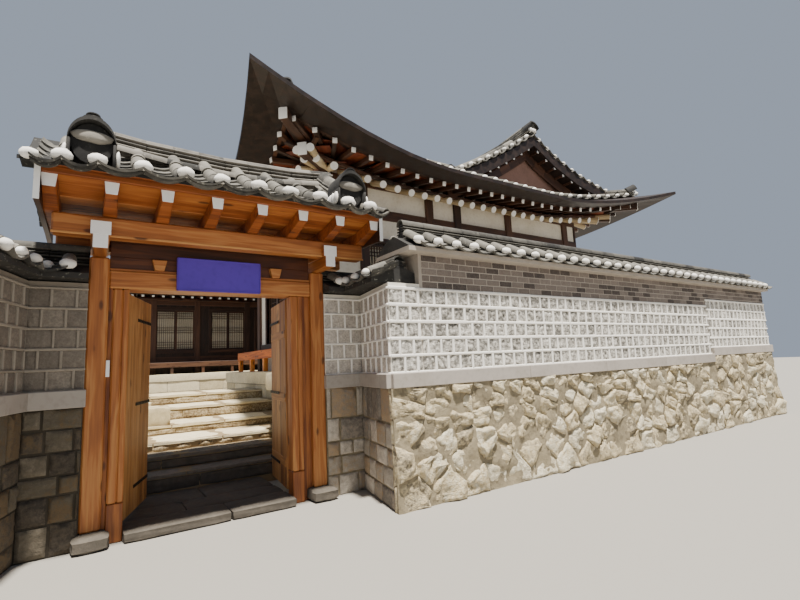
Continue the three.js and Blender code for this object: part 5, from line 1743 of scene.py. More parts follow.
@dataclass
class Coping:
    """Tiled coping of one run of wall."""

    name: str
    path: tuple[Span, ...]
    base: float
    half_width: float
    row_pitch: float = 0.252
    ridge_half: float = 0.075
    layers: int = 3
    core: Finish = CORE_CLAY
    eave: float = 0.055
    rise: float = 0.11
    buried: Span = (99.0, 0.0)
    ridge_inset: float = 0.0

    def surface(self, face: WallFace, side: int) -> Surface:
        """Gives the slope on one side of one straight stretch.

        Args:
            face: the stretch.
            side: -1 for its right-hand side, 1 for its left.

        Returns:
            A function of the place along the stretch and the inset from the eave.
        """
        def slope(along: float, inset: float) -> Array:
            """Finds the point of the slope at an inset from its eave."""
            z = self.base + self.eave + self.rise * inset / (self.half_width - self.ridge_half)
            return face.point(along, -side * (self.half_width - inset), z)
        return slope

    def open_test(self, slope: Surface) -> Test:
        """Makes the rule that leaves out the tiles that a taller wall would bury.

        Args:
            slope: surface that the tiles lie on.

        Returns:
            A function that says whether a tile at a place is laid.
        """
        def shown(along: float, inset: float) -> bool:
            """Says whether the place lies outside the taller wall."""
            x, y, _ = slope(along, inset)
            return bool(x < self.buried[0] or y > self.buried[1])
        return shown

    def add_body(self, body: Batch, stretch: int, low: float, high: float, taper: float) -> None:
        """Adds a layer of the solid under the tiles, mitred where the run turns.

        Args:
            body: where it goes.
            stretch: number of the straight stretch.
            low: level of its underside.
            high: level of its top.
            taper: width of its top over that of its underside.
        """
        corners = [Vector((*place, (low + high) / 2)) for place in self.path]
        start, end = corners[stretch], corners[stretch + 1]
        runs = [(b - a).normalized() for a, b in zip(corners, corners[1:])]
        mesh = new_cube()
        for vert in mesh.verts:
            vert.co.y *= taper if vert.co.z > 0 else 1
        scale = Matrix.Diagonal(((end - start).length + 2.0, self.half_width * 2, high - low, 1))
        turn = Matrix.Rotation(math.atan2(runs[stretch].y, runs[stretch].x), 4, "Z")
        middle = Matrix.Translation((start + end) / 2)
        bmesh.ops.transform(mesh, matrix=middle @ turn @ scale, verts=mesh.verts)
        before = runs[max(stretch - 1, 0)] + runs[stretch]
        after = runs[min(stretch + 1, len(runs) - 1)] + runs[stretch]
        for place, normal in ((start, -before), (end, after)):
            rim = [g for g in cut_away(mesh, place, normal) if isinstance(g, bmesh.types.BMEdge)]
            bmesh.ops.contextual_create(mesh, geom=rim)
        body.mesh(mesh)

    def build(self) -> None:
        """Lays the body, the tiles, the lime plugs and the layered ridge of the whole run."""
        body = Batch(f"{self.name}_body", self.core)
        # Dark clay under and between the ridge layers paints the shade in the gaps.
        gaps = Batch(f"{self.name}_ridge_gaps", DARK_CLAY)
        ridge = Batch(f"{self.name}_ridge", RIDGE_CLAY, crease=50)
        foot, top = self.base + self.eave + 0.005, self.base + self.eave + self.rise
        reach = self.half_width - self.ridge_half
        runs = []
        for stretch, face in enumerate(faces_through(*self.path)):
            self.add_body(body, stretch, foot - 0.045, foot, 1.0)
            self.add_body(gaps, stretch, foot, top + 0.005, self.ridge_half / self.half_width)
            count = max(1, round(face.length / self.row_pitch))
            pitch = face.length / count
            for side, letter in ((-1, "a"), (1, "b")):
                slope = self.surface(face, side)
                run = RoofRun(f"{self.name}_{stretch}{letter}", slope, shown=self.open_test(slope))
                for index in range(count):
                    along = (index + 0.5) * pitch
                    run.lay(True, along + pitch / 2, pitch, -0.012, reach, 0.13, 0.058)
                    run.lay(False, along, 0.105, 0.05, reach, 0.24, 0.062)
                    run.plug(along, 0.03, 0.068, 0.115)
                runs.append(run)
        body.build(self.name)
        join_runs(self.name, runs)
        points = [np.array([*p, top]) for p in self.path]
        points[0] = points[0] + unit(points[1] - points[0]) * self.ridge_inset
        stack_ridge(ridge, points, 0.19, self.layers, 0.03, 0.12, 0.28, gaps=gaps)
        build_all(ridge, gaps)


@dataclass
class Steps:
    """Stone steps behind the gate, each with a pale tread and a mottled riser; the two lowest are in dark
    stone as painted shade of the gate roof.
    """

    left: float = -0.95
    levels: tuple[Span, ...] = ((1.15, 0.27), (1.45, 0.42), (1.80, 0.53), (2.55, 0.65), (3.35, 0.83),
        (4.20, 0.98), (5.4, 0.0))
    tread: float = 0.045
    round_step: int = 2

    def right_at(self, y: float) -> float:
        """Gives the podium's face beside the steps at a distance into the yard."""
        return 0.99 + (max(y, 1.5) - 1.5) * 0.33 if y < 3.5 else 1.65 + (y - 3.5) * 0.026

    def build(self) -> None:
        """Lays treads and risers, the rounded stones, the side block and the low pier."""
        dress(OCHRE_STONE, "stone_steps")
        upper = (Batch("step_treads", STEP_GRANITE, crease=60),
            Batch("step_risers", OCHRE_STONE, crease=60))
        # The two lowest steps take the dark threshold stone: painted shade of the gate roof.
        lower = (Batch("low_step_treads", SHADED_THRESHOLD_STONE, crease=60),
            Batch("low_step_risers", SHADED_THRESHOLD_STONE, crease=60))
        below = 0.09
        for index, ((y, top), (back, _)) in enumerate(zip(self.levels, self.levels[1:])):
            treads, risers = lower if index < 2 else upper
            for a, b in self.split(risers.rng, self.right_at(y), 0.55, 0.95):
                treads.put(rough_cube(treads.rng.randrange(9), 5, 0.003, 0.006),
                    ((a + b) / 2, (y + back) / 2 - 0.012, top - self.tread / 2 + 0.004),
                    size=(b - a - 0.004, back - y + 0.02, self.tread), tone=treads.rng.uniform(0.6, 1))
            for a, b in self.split(risers.rng, self.right_at(y), 0.5, 1.1):
                if index == self.round_step:
                    count = max(1, round((b - a) / 0.26))
                    width = (b - a) / count
                    for stone in range(count):
                        place = (a + (stone + 0.5) * width, y + 0.05, (below + top) / 2 - 0.02)
                        risers.put(lump(risers.rng.randrange(6), 3), place,
                            scale=(width * 1.08, 0.14, (top - below) * 0.95))
                    continue
                risers.put(rough_cube(risers.rng.randrange(9), 6, 0.007, 0.006),
                    ((a + b) / 2, y + 0.03, (below + top - self.tread) / 2),
                    size=(b - a - 0.006, 0.09, top - self.tread - below))
            below = top
        treads.put(rough_cube(4, 5, 0.004, 0.008), (-0.255, 2.76, 0.77), size=(0.3, 0.34, 0.25), tone=0.3)
        build_all(*upper, *lower)
        self.build_pier()

    def split(self, rng: random.Random, right: float, short: float, long: float) -> Iterable[Span]:
        """Divides a step's width into stones.

        Args:
            rng: source of their lengths.
            right: right-hand end of the step.
            short: shortest stone.
            long: longest stone.

        Returns:
            Both ends of each stone, from left to right.
        """
        cuts = [self.left]
        while right - cuts[-1] > long * 1.3:
            cuts.append(cuts[-1] + rng.uniform(short, long))
        return zip(cuts, [*cuts[1:], right])

    @staticmethod
    def build_pier() -> None:
        """Stacks the low pier of small stones with its cap."""
        low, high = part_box("stair_pier")
        pier = Batch("stair_pier_stones", STEP_GRANITE, crease=60)
        height = (high.z - low.z - 0.07) / 4
        for row in range(4):
            cuts = np.linspace(low.x, high.x, 4 + row % 2)
            for a, b in zip(cuts, cuts[1:]):
                pier.put(rough_cube(pier.rng.randrange(9), 3, 0.006, 0.01),
                    ((a + b) / 2, (low.y + high.y) / 2, low.z + (row + 0.5) * height),
                    size=(b - a - 0.008, high.y - low.y, height - 0.006))
        pier.put(rough_cube(2, 4, 0.006, 0.012),
            ((low.x + high.x) / 2, (low.y + high.y) / 2, high.z - 0.036),
            size=(high.x - low.x + 0.03, high.y - low.y + 0.03, 0.07), tone=0.9)
        pier.build("stair_pier")


@dataclass(frozen=True)
class HouseWall:
    """One outer wall with the row of openings in it and the levels of its head beam and top."""

    face: WallFace
    openings: tuple[Span, ...] = ()
    rise: Span = (2.45, 3.65)
    head: float = 4.12
    top: float = 4.75


HOUSE_WALLS = (HouseWall(WallFace((2.35, 2.75), (9.6, 2.75)), ((0.9, 2.3), (3.25, 4.65), (5.35, 6.75))),
    HouseWall(WallFace((2.35, 6.6), (2.35, 2.75)), ((0.6, 1.8), (2.2, 3.4)), (1.75, 3.70)),
    HouseWall(WallFace((5.5, 6.6), (2.35, 6.6)), ((0.6, 2.4),), (2.0, 3.7)),
    HouseWall(WallFace((5.5, 13.5), (5.5, 6.6)), ((0.5, 2.1), (2.6, 4.2), (4.7, 6.3)), (1.75, 3.7)),
    HouseWall(WallFace((0.0, 13.5), (5.5, 13.5)), ((0.8, 2.05), (2.62, 3.85), (4.3, 5.3)), (2.13, 3.57),
    3.75, 4.3), HouseWall(WallFace((0.0, 16.3), (0.0, 13.5)), head=3.75, top=4.3),
    HouseWall(WallFace((9.6, 16.3), (0.0, 16.3)), ((1.0, 2.4), (4.8, 6.0), (7.2, 8.4)), head=3.75, top=4.3),
    HouseWall(WallFace((9.6, 2.75), (9.6, 16.3)),
    ((1.05, 2.45), (4.25, 5.65), (7.45, 8.85), (10.85, 12.25))))


@dataclass
class HouseWalls:
    """Timber frame, plaster panels, lattice screens and the stone podium of the house."""

    half_post: float = 0.095
    beam: float = 0.20
    proud: float = 0.035
    sill: float = 1.75
    rail: float = 2.3

    def build(self) -> None:
        """Dresses the solid walls and adds the frame, screens, verandas and podium stones."""
        dress(WALL_PLASTER, "wall_west", "wall_street", "wall_court_front", "wall_court_east",
            "wall_rear_west", "wall_north", "wall_east")
        dress(DARK_BOARD, "wall_court_rear")
        dress(FLOOR_TIMBER_SLAB, "house_floor")
        wood = Batch("house_frame", HOUSE_TIMBER)
        lattice = Batch("house_lattice", HOUSE_TIMBER)
        paper = Batch("house_paper", SCREEN_PAPER)
        for wall in HOUSE_WALLS:
            self.build_frame(wood, wall)
            for along in wall.openings:
                self.build_screen(wood, lattice, paper, wall, along)
        build_all(wood, lattice, paper)
        self.build_verandas()
        self.build_podium()

    def build_frame(self, wood: Batch, wall: HouseWall) -> None:
        """Adds the posts and beams of one wall.

        Args:
            wood: batch for the timber.
            wall: the wall.
        """
        face, length, out = wall.face, wall.face.length, (-0.01, self.proud)
        for z in ((self.sill - 0.02, self.sill + 0.16), (wall.head, wall.head + self.beam),
                (wall.top - 0.02, wall.top + 0.14)):
            face.panel(wood, (-0.03, length + 0.03), z, out, 0.006)
        places: list[float] = []
        for edge in sorted({0.0, length, *(e for a, b in wall.openings for e in (a - 0.09, b + 0.09))}):
            if not places or edge - places[-1] > 0.55:
                places.append(edge)
        half = self.half_post
        for place in places:
            middle = min(max(place, half - 0.03), length - half + 0.03)
            face.panel(wood, (middle - half, middle + half), (1.3, wall.top), (-0.01, self.proud + 0.02),
                0.008, grain_axis=2)
        for a, b in zip(places, places[1:]):
            if wall.rise[0] > self.rail or not any(s > a and e < b for s, e in wall.openings):
                face.panel(wood, (a, b), (self.rail, self.rail + 0.12), out, 0.005)

    @staticmethod
    def build_screen(wood: Batch, lattice: Batch, paper: Batch, wall: HouseWall, along: Span) -> None:
        """Adds a pair of papered lattice screens in one opening.

        Args:
            wood: batch for the frame.
            lattice: batch for the thin bars.
            paper: batch for the paper.
            wall: the wall.
            along: both sides of the opening.
        """
        face, (a, b), (low, high) = wall.face, along, wall.rise
        for z in ((high, high + 0.1), (low - 0.1, low)):
            face.panel(wood, (a - 0.09, b + 0.09), z, (-0.2, 0.03), 0.005)
        for edge in (a - 0.09, b):
            face.panel(wood, (edge, edge + 0.09), wall.rise, (-0.2, 0.03), 0.005, grain_axis=2)
        face.panel(paper, along, wall.rise, (-0.085, -0.078), 0.001)
        width = (b - a) / 2 - 0.1
        for left in (a, (a + b) / 2):
            sides = (left + 0.05, left + 0.05 + width)
            for edge in (left, sides[1]):
                face.panel(wood, (edge, edge + 0.05), wall.rise, (-0.077, -0.03), 0.003, grain_axis=2)
            for z in (low, high - 0.06):
                face.panel(wood, sides, (z, z + 0.06), (-0.077, -0.031), 0.003)
            count = max(4, round(width / 0.062))
            for index in range(1, count):
                u = left + 0.05 + width * index / count
                face.panel(lattice, (u - 0.006, u + 0.006), (low + 0.06, high - 0.06), (-0.077, -0.05), 0.0,
                    grain_axis=2)
            for share in (0.08, 0.14, 0.2, 0.44, 0.5, 0.56, 0.8, 0.86, 0.92):
                z = low + (high - low) * share
                face.panel(lattice, sides, (z - 0.006, z + 0.006), (-0.077, -0.048), 0.0)

    @staticmethod
    def build_verandas() -> None:
        """Lays the veranda floors with their edge beams and short posts."""
        # The west veranda's bright floor timber carries painted light.
        for name, finish, run in (("veranda_west", PAINTED_LIGHT_FLOOR, 1), ("veranda_rear", DARK_FLOOR, 0)):
            wood = Batch(f"{name}_timber", finish)
            low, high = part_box(name)
            length, across = high[run] - low[run], 1 - run
            count = round(length / 0.3)
            for index in range(count):
                start, end = Vector((low.x, low.y, high.z - 0.04)), high.copy()
                start[run] += length * index / count
                start[across] += 0.05
                end[run] = low[run] + length * (index + 1) / count - 0.004
                wood.box(start, end, 0.004, across)
            edge = high.copy()
            edge[across] = low[across] + 0.1
            wood.box((low.x, low.y, high.z - 0.17), (edge.x, edge.y, high.z + 0.004), 0.006, run)
            posts = max(3, round(length / 1.1))
            for index in range(posts + 1):
                place = low + Vector((0.06, 0.06, 0))
                place[run] += (length - 0.12) * index / posts
                wood.box((place.x - 0.045, place.y - 0.045, 1.3),
                    (place.x + 0.045, place.y + 0.045, high.z - 0.17), 0.006, 2)
            wood.build(name)

    @staticmethod
    def build_podium() -> None:
        """Faces the podium with courses of dressed stone and a cap course."""
        dress(PODIUM_GRANITE, "podium")
        stones = Batch("podium_stones", STEP_GRANITE, crease=60)
        rng = stones.rng
        for face in faces_through((0.99, 1.5), (10.3, 1.5), (10.3, 17.0), (-0.7, 17.0), (-0.7, 12.7),
                (4.8, 12.7), (4.8, 7.3), (1.75, 7.3), (1.65, 3.5), (0.99, 1.5)):
            for row, (low, high) in enumerate(((0.0, 0.36), (0.36, 0.72), (0.72, 1.06))):
                u = -0.4 if row % 2 else 0.0
                while u < face.length:
                    length = rng.uniform(0.7, 1.1)
                    a, b = max(u, 0.0), min(u + length, face.length)
                    face.panel(stones, (a + 0.004, b - 0.004), (low + 0.004, high - 0.004), (-0.05, 0.012),
                        shape=rough_cube(rng.randrange(8), 2, 0.003, 0.004), tone=rng.uniform(0.4, 0.9))
                    u += length
            u = 0.0
            while u < face.length:
                length = min(1.3, face.length - u)
                face.panel(stones, (u - 0.02, u + length - 0.004), (1.064, 1.304), (-0.3, 0.035),
                    shape=rough_cube(rng.randrange(8), 3, 0.003, 0.005), tone=0.9)
                u += length
        stones.build()


@dataclass(frozen=True)
class EaveCorner:
    """An eave corner that sweeps up and out, with the plan place where its rafters meet the walls."""

    place: Span
    out: tuple[int, int]
    wall: Span


EAVE_LEVEL = 4.78
REAR_LEVEL = 4.10


class Eave(Enum):
    """The eaves, each with the axis it runs along, its place, its inward way and its level."""

    STREET = (0, 1.36, 1, EAVE_LEVEL)
    WEST = (1, 1.0, 1, EAVE_LEVEL)
    COURT = (0, 7.96, -1, EAVE_LEVEL)
    INNER = (1, 4.15, 1, EAVE_LEVEL)
    EAST = (1, 10.85, -1, EAVE_LEVEL)
    REAR_SOUTH = (0, 12.5, 1, REAR_LEVEL)
    REAR_NORTH = (0, 17.3, -1, REAR_LEVEL)


@dataclass(frozen=True)
class EaveLine:
    """A stretch of eave with rafters, whose roots keep between two places."""

    eave: Eave
    first: float
    last: float
    roots: Span
    shift: float = 0.0

    def steps(self, pitch: float) -> Array:
        """Divides the stretch into equal parts of about one pitch."""
        return np.linspace(self.first, self.last, round((self.last - self.first) / pitch) + 1)

    def root(self, along: float) -> float:
        """Gives where a rafter or board that starts at a place has its root."""
        return min(max(along, self.roots[0]), self.roots[1])


def under(point: Array, drop: float) -> Array:
    """Gives the place under a point."""
    return point - (0, 0, drop)


@dataclass
class HouseRoof:
    """Curved tiled roofs of the house with rafters, verges, gables and ridges."""

    corners: tuple[EaveCorner, ...] = (EaveCorner((1.0, 1.36), (-1, -1), (2.45, 2.85)),
        EaveCorner((1.0, 7.96), (-1, 1), (2.45, 6.5)), EaveCorner((10.85, 1.36), (1, -1), (9.5, 2.85)))
    sweep: float = 3.6
    lift: float = 0.62
    pull: float = 0.5
    pitch: float = 0.30

    @staticmethod
    def rise(inset: float) -> float:
        """Gives how far the roof has risen at an inset from its eave."""
        return 0.36 * inset + 0.0476 * inset * inset

    def spot(self, x: float, y: float, inset: float, eave: float) -> Array:
        """Gives the point of a roof's surface, swept up and out near the corners.

        Args:
            x: place along the street before the sweep.
            y: place into the property before the sweep.
            inset: distance in from the eave.
            eave: level of the eave.

        Returns:
            The point.
        """
        point = np.array([x, y, eave + self.rise(inset)])
        for corner in self.corners:
            share = max(0.0, 1 - math.dist((x, y), corner.place) / self.sweep) ** 2
            point += np.array([*(self.pull * share * way for way in corner.out), self.lift * share])
        return point

    def at(self, eave: Eave, along: float, inset: float) -> Array:
        """Gives a point of a slope.

        Args:
            eave: its eave.
            along: place along the eave.
            inset: distance in from it.

        Returns:
            The point.
        """
        axis, edge, way, level = eave.value
        place = (along, edge + way * inset) if axis == 0 else (edge + way * inset, along)
        return self.spot(*place, inset, level)

    def hip(self, corner: EaveCorner, inset: float) -> Array:
        """Gives the point over the hip at an inset from both eaves of a corner."""
        x, y = (place - way * inset for place, way in zip(corner.place, corner.out))
        return self.spot(x, y, inset, EAVE_LEVEL)

    def shown(self, eave: Eave, along: float, inset: float) -> bool:
        """Says whether a slope lies open at a place, clear of the other roofs.

        Args:
            eave: the slope's eave.
            along: place along it.
            inset: distance in from it.

        Returns:
            Whether a tile is laid there.
        """
        if eave is Eave.WEST:
            return inset < min(along - 1.31, 8.01 - along)
        if eave is Eave.EAST:
            return along > 2.1 or inset < along - 1.31
        if eave in (Eave.STREET, Eave.COURT) and along < 1.9:
            return inset < along - 0.95
        if eave is Eave.COURT:
            return along < 4.15 or inset > along - 4.25
        if eave is Eave.STREET:
            return inset < (10.9 - along if along > 9.8 else 0.8) or along - 4.25 < inset and along < 7.5
        if eave is Eave.INNER:
            near = abs(along - 14.9)
            rear = REAR_LEVEL + self.rise(max(0.0, 2.4 - near))
            hidden = near < 2.4 and inset < 1.35 and rear > EAVE_LEVEL + self.rise(inset) + 0.05
            return inset > 3.2 - abs(along - 4.66) and not hidden
        cover = EAVE_LEVEL + self.rise(max(0.0, along - 4.15)) - REAR_LEVEL - self.rise(inset)
        return along < 4.1 or cover < 0.0 or cover > 0.25

    def build(self) -> None:
        """Builds tiles, rafters, gables and ridges."""
        dress(ROOF_SHEET, "roof_front", "roof_west_skirt", "roof_east", "roof_east_skirt", "roof_rear")
        dress(GABLE_CLAY, "west_gable", "street_gable")
        self.lay_slopes()
        self.build_rafters()
        self.build_gables()
        self.build_ridges()

    def lay_slopes(self) -> None:
        """Lays the tiles of every slope, joined by wing."""
        runs: dict[str, list[RoofRun]] = {}
        slopes = (("roof_front", Eave.STREET, 1.6, 29, 3.3, 0.43),
            ("roof_front", Eave.COURT, 1.6, 19, 3.3, 0.43), ("roof_skirt", Eave.WEST, 1.86, 18, 1.1, 0.43),
            ("roof_inner", Eave.INNER, 2.25, 48, 3.35, 0.43),
            ("roof_east", Eave.EAST, 1.95, 49, 3.35, 0.43),
            ("roof_rear", Eave.REAR_SOUTH, -0.35, 18, 2.4, 0.03),
            ("roof_rear", Eave.REAR_NORTH, -0.35, 19, 2.4, 0.03))
        for index, (name, eave, first, count, top, low) in enumerate(slopes):
            run = RoofRun(f"{name}_{index}", partial(self.at, eave), shown=partial(self.shown, eave))
            for row in range(count + 1):
                along = first + row * self.pitch
                run.lay(True, along + self.pitch / 2, self.pitch, low - 0.02, top, 0.24, 0.062)
                run.lay(False, along, 0.125, low + 0.06, top, 0.34, 0.066)
                run.plug(along, low + 0.03, 0.07, 0.125)
            runs.setdefault(name, []).append(run)
        for name, joined in runs.items():
            join_runs(name, joined)

    def build_rafters(self) -> None:
        """Hangs flying and round rafters with white ends, hip rafters and soffit boards."""
        wood = Batch("house_flying_rafters", HOUSE_TIMBER)
        poles = Batch("house_round_rafters", RAW_TIMBER, crease=50)
        ends = Batch("house_rafter_ends", END_PAINT, crease=50)
        boards = Batch("house_soffit", SOFFIT_BOARD)
        for line in (EaveLine(Eave.STREET, 1.66, 10.2, (2.55, 9.4)),
                EaveLine(Eave.WEST, 2.0, 7.3, (2.95, 6.4)), EaveLine(Eave.COURT, 1.66, 4.0, (2.55, 4.0)),
                EaveLine(Eave.INNER, 8.1, 12.3, (8.1, 12.3)), EaveLine(Eave.EAST, 2.0, 16.7, (2.95, 16.7)),
                EaveLine(Eave.REAR_SOUTH, -0.3, 4.0, (-0.3, 4.0), 0.25),
                EaveLine(Eave.REAR_NORTH, -0.3, 5.3, (-0.3, 5.3), 0.25)):
            at, steps = partial(self.at, line.eave), line.steps(0.318)
            for along in steps:
                tip = under(at(along, 0.55 - line.shift), 0.255)
                root = under(at(line.root(along), 1.34 - line.shift), 0.44)
                self.square_rafter(wood, ends, tip, root, 0.075, 0.06 if line.shift else 0.085)
                if along < steps[-1] and not line.shift:
                    half = along + (steps[1] - steps[0]) / 2
                    tip, root = under(at(half, 0.98), 0.57), under(at(line.root(half), 1.5), 0.56)
                    poles.pole(tip, root, 0.135)
                    run = unit(root - tip)
                    ends.put(rod(16), tip - run * 0.003, axes_along(run), scale=(0.012, 0.14, 0.14))
            self.edge_boards(wood, boards, line)
        for corner in self.corners:
            for inset, drop, lift, size in ((0.5, 0.25, 0.05, (0.13, 0.22)),
                    (0.88, 0.54, 0.12, (0.15, 0.2))):
                tip = under(self.hip(corner, inset), drop)
                self.square_rafter(wood, ends, tip, np.array([*corner.wall, tip[2] + lift]), *size)
        build_all(wood, poles, ends, boards)

    @staticmethod
    def square_rafter(wood: Batch, ends: Batch, tip: Array, root: Array, width: float,
            height: float) -> None:
        """Adds one square rafter with its painted end.

        Args:
            wood: batch for the rafter.
            ends: batch for the painted end.
            tip: middle of its outer end.
            root: middle of its inner end.
            width: across.
            height: upright.
        """
        wood.bar(tip, root, width, height, 0.005)
        run = unit(root - tip)
        ends.put(cube(0.002), tip - run * 0.003, axes_along(run), size=(0.012, width * 1.03, height * 1.03))

    def edge_boards(self, wood: Batch, boards: Batch, line: EaveLine) -> None:
        """Adds the boards over the rafter ends and the soffit between them.

        Args:
            wood: batch for the dark boards.
            boards: batch for the soffit.
            line: the stretch of eave.
        """
        at, steps = partial(self.at, line.eave), line.steps(0.5)
        for a, b in zip(steps, steps[1:]):
            for inset, drop, width, height in ((0.60, 0.198, 0.07, 0.035), (1.04, 0.488, 0.08, 0.05)):
                start, end = (under(at(place, inset - line.shift), drop) for place in (a, b))
                wood.bar(start, end, width, height)
            middle, width = (a + b) / 2, math.dist(start[:2], end[:2]) * 1.02
            for near, far, low, high in ((0.62, 1.36, 0.2, 0.385), (1.06, 1.52, 0.5, 0.47)):
                tip = under(at(middle, near - line.shift), low)
                root = under(at(line.root(middle), far - line.shift), high)
                boards.bar(tip, root, width, 0.014, 0.002)

    def build_gables(self) -> None:
        """Finishes both gables with verge tiles, small rafters and barge boards."""
        wood = Batch("gable_timber", HOUSE_TIMBER)
        ends = Batch("gable_rafter_ends", END_PAINT)
        runs = []
        for name, eave, edge, top in (("street_0", Eave.INNER, 2.1, 3.35),
                ("street_1", Eave.EAST, 2.1, 3.35), ("west_0", Eave.STREET, 1.75, 3.3),
                ("west_1", Eave.COURT, 1.75, 3.3)):
            surface = self.verge(eave, edge)
            run = RoofRun(f"verge_{name}", surface)
            runs.append(run)
            count = round((top - 1.0) / 0.25)
            for row in range(count):
                inset = 0.95 + (row + 0.5) * (top - 0.98) / count
                run.lay(False, inset, 0.115, 0.05, 0.36, 0.31, 0.075)
                run.lay(True, inset + 0.12, 0.25, -0.01, 0.36, 0.18, 0.07)
                run.plug(inset, 0.03, 0.085, 0.12)
                tip, root = under(surface(inset, 0.045), 0.225), under(surface(inset, 0.34), 0.225)
                self.square_rafter(wood, ends, tip, root, 0.055, 0.065)
            steps = np.linspace(0.85, top + 0.02, 9)
            for a, b in zip(steps, steps[1:]):
                for out, drop, width, height in ((0.05, 0.16, 0.05, 0.05), (0.29, 0.33, 0.035, 0.26)):
                    wood.bar(under(surface(a, out), drop), under(surface(b, out), drop), width, height)
        join_runs("gable_verge", runs)
        build_all(wood, ends)

    def verge(self, eave: Eave, edge: float) -> Surface:
        """Gives a slope beside a gable, by inset from its eave and distance from its edge."""
        return lambda inset, out: self.at(eave, edge + out, inset)

    def build_ridges(self) -> None:
        """Stacks main, descending and hip ridges, with dark end tiles bedded in lime."""
        ridge = Batch("house_ridge_tiles", ROOF_CLAY, crease=50)
        dark = Batch("house_end_tiles", DARK_CLAY, crease=50)
        lime = Batch("house_ridge_lime", PLUG_LIME, crease=80)
        for start, end, base, raised in (((1.75, 4.66, 0), (7.36, 4.66, 0), 6.486, False),
                ((7.5, 2.1, 0), (7.5, 16.9, 0), 6.52, True),
                ((-0.5, 14.9, 0), (5.4, 14.9, 0), 5.238, False)):
            length, path = math.dist(start, end), []
            for share in np.linspace(0, 1, 15):
                near = min(share * length, (1 - share) * length if raised else 9)
                lift = 0.16 * max(0.0, 1 - near / 1.4) ** 2
                point = np.array(start) * (1 - share) + np.array(end) * share
                path.append(point + (0, 0, base - 0.05 + lift))
            stack_ridge(ridge, path, 0.27, 6, 0.038, 0.15, 0.3)
            self.end_tile(dark, lime, path[0], path[0] - path[1])
            if raised:
                self.end_tile(dark, lime, path[-1], path[-1] - path[-2])
        for eave, along, corner, top in ((Eave.STREET, 2.28, self.corners[0], 3.1),
                (Eave.COURT, 2.28, self.corners[1], 3.1), (Eave.INNER, 2.62, None, 3.15),
                (Eave.EAST, 2.62, self.corners[2], 3.15)):
            path = [self.at(eave, along, inset) + (0, 0, 0.06) for inset in np.linspace(top, 1.12, 8)]
            if corner:
                path += [self.hip(corner, inset) + (0, 0, 0.06) for inset in np.linspace(1.0, 0.52, 4)]
            stack_ridge(ridge, path, 0.24, 3, 0.034, 0.14, 0.27)
            self.end_tile(dark, lime, path[-1], path[-1] - path[-2])
        ridge.build("ridge_front", "ridge_east", "ridge_rear")
        build_all(dark, lime)

    @staticmethod
    def end_tile(dark: Batch, lime: Batch, place: Array, out: Array) -> None:
        """Closes a ridge with an arched end tile on a bed of lime.

        Args:
            dark: batch for the tile.
            lime: batch for the lime.
            place: foot of the ridge's end.
            out: direction that it faces.
        """
        run = unit(np.array([out[0], out[1], max(out[2], 0.0) + 0.12]))
        across = unit(np.cross(run, UP))
        axes = np.array([across, run, np.cross(across, run)])
        dark.put(barrel(12, 0.1), place + axes[2] * 0.10 - run * 0.02, axes, scale=(0.30, 0.22, 0.31),
            tone=0.3)
        for offset in (-0.07, 0.0, 0.07):
            lime.put(lump(1), place + across * offset + (0, 0, 0.06) - run * 0.03, scale=(0.11, 0.11, 0.13),
                tone=0.5)


@dataclass(frozen=True)
class Viewpoint:
    """Camera that stands where the photograph was taken."""

    place: tuple[float, float, float] = (-1.06, -4.686, 1.369)
    yaw: float = 33.81
    pitch: float = 7.6
    roll: float = -2.62
    lens: float = 20.84

    def build(self) -> None:
        """Makes the camera and gives it to the scene."""
        yaw, pitch, roll = (math.radians(v) for v in (self.yaw, self.pitch, self.roll))
        forward = Vector((math.sin(yaw) * math.cos(pitch), math.cos(yaw) * math.cos(pitch),
            math.sin(pitch)))
        level = Vector((math.cos(yaw), -math.sin(yaw), 0))
        upright = level.cross(forward)
        right = level * math.cos(roll) + upright * math.sin(roll)
        up = upright * math.cos(roll) - level * math.sin(roll)
        data = bpy.data.cameras.new("street_view")
        data.sensor_width = 36.0
        data.lens = self.lens
        data.clip_end = 200
        camera = bpy.data.objects.new("street_view", data)
        turn = Matrix((right, up, -forward)).transposed().to_4x4()
        camera.matrix_world = Matrix.Translation(self.place) @ turn
        bpy.context.scene.collection.objects.link(camera)
        bpy.context.scene.camera = camera


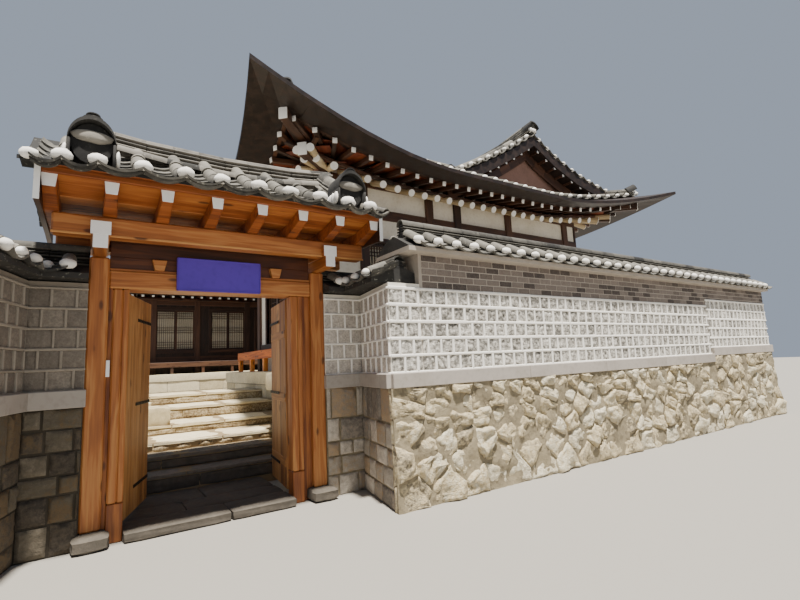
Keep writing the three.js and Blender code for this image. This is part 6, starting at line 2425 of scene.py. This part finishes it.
@dataclass(frozen=True)
class Studio:
    """Pale floor, soft high sun and an even pale surround."""

    sun_from: tuple[float, float, float] = (-0.06, -0.29, 1.0)
    sun_power: float = 12.0
    sun_spread: float = 2.5
    surround: str = "c3d0e4"
    surround_power: float = 0.6

    def build(self) -> None:
        """Makes the floor and the lights."""
        floor = bmesh.new()
        bmesh.ops.create_grid(floor, x_segments=1, y_segments=1, size=60)
        data = bpy.data.meshes.new("studio_floor")
        floor.to_mesh(data)
        floor.free()
        plane = bpy.data.objects.new("studio_floor", data)
        bpy.context.scene.collection.objects.link(plane)
        graph = Graph("studio_floor")
        data.materials.append(graph.finish(tint("96928a"), 0.9))
        light = bpy.data.lights.new("sun", "SUN")
        light.energy = self.sun_power
        light.color = (1.0, 0.95, 0.87)
        light.angle = math.radians(self.sun_spread)
        lamp = bpy.data.objects.new("sun", light)
        lamp.rotation_mode = "QUATERNION"
        lamp.rotation_quaternion = Vector(self.sun_from).to_track_quat("Z", "Y")
        bpy.context.scene.collection.objects.link(lamp)
        world = bpy.data.worlds.new("surround")
        world.use_nodes = True
        back = world.node_tree.nodes["Background"]
        back.inputs["Color"].default_value = (*tint(self.surround), 1.0)
        back.inputs["Strength"].default_value = self.surround_power
        bpy.context.scene.world = world


def main() -> None:
    """Builds the house from the gate inwards and reports each part."""
    logging.basicConfig(level=logging.INFO, format="%(name)s %(message)s")
    Viewpoint().build()
    Studio().build()
    for part in (GateFrame(), GateRafters(), SignBoard(), DoorLeaf("left", (-0.8, 0.202), 71),
            DoorLeaf("right", (0.7, 0.202), 83), GateRoof(), PropertyWall(),
            # The street coping's body takes the darker plaster: painted shadow under the tiles.
            Coping("street_wall_coping", ((1.53, -0.7), (10.54, -0.7)), 2.56, 0.32, layers=6,
            core=STREET_SHADE_PLASTER, eave=-0.05, rise=0.14, ridge_inset=0.12),
            Coping("left_wall_coping", ((-3.2, -0.7), (-1.915, -0.7), (-1.665, 0.175), (-1.1, 0.175)), 2.15,
            0.33, layers=5, buried=(-1.11, 9.0)),
            Coping("right_low_wall_coping", ((1.063, 0.175), (1.59, 0.175), (1.54, -0.82)), 2.15, 0.33,
            buried=(1.66, -0.45)), Steps(), HouseWalls(), HouseRoof()):
        part.build()
        LOG.info("%s done", type(part).__name__)


if __name__ == "__main__":
    main()
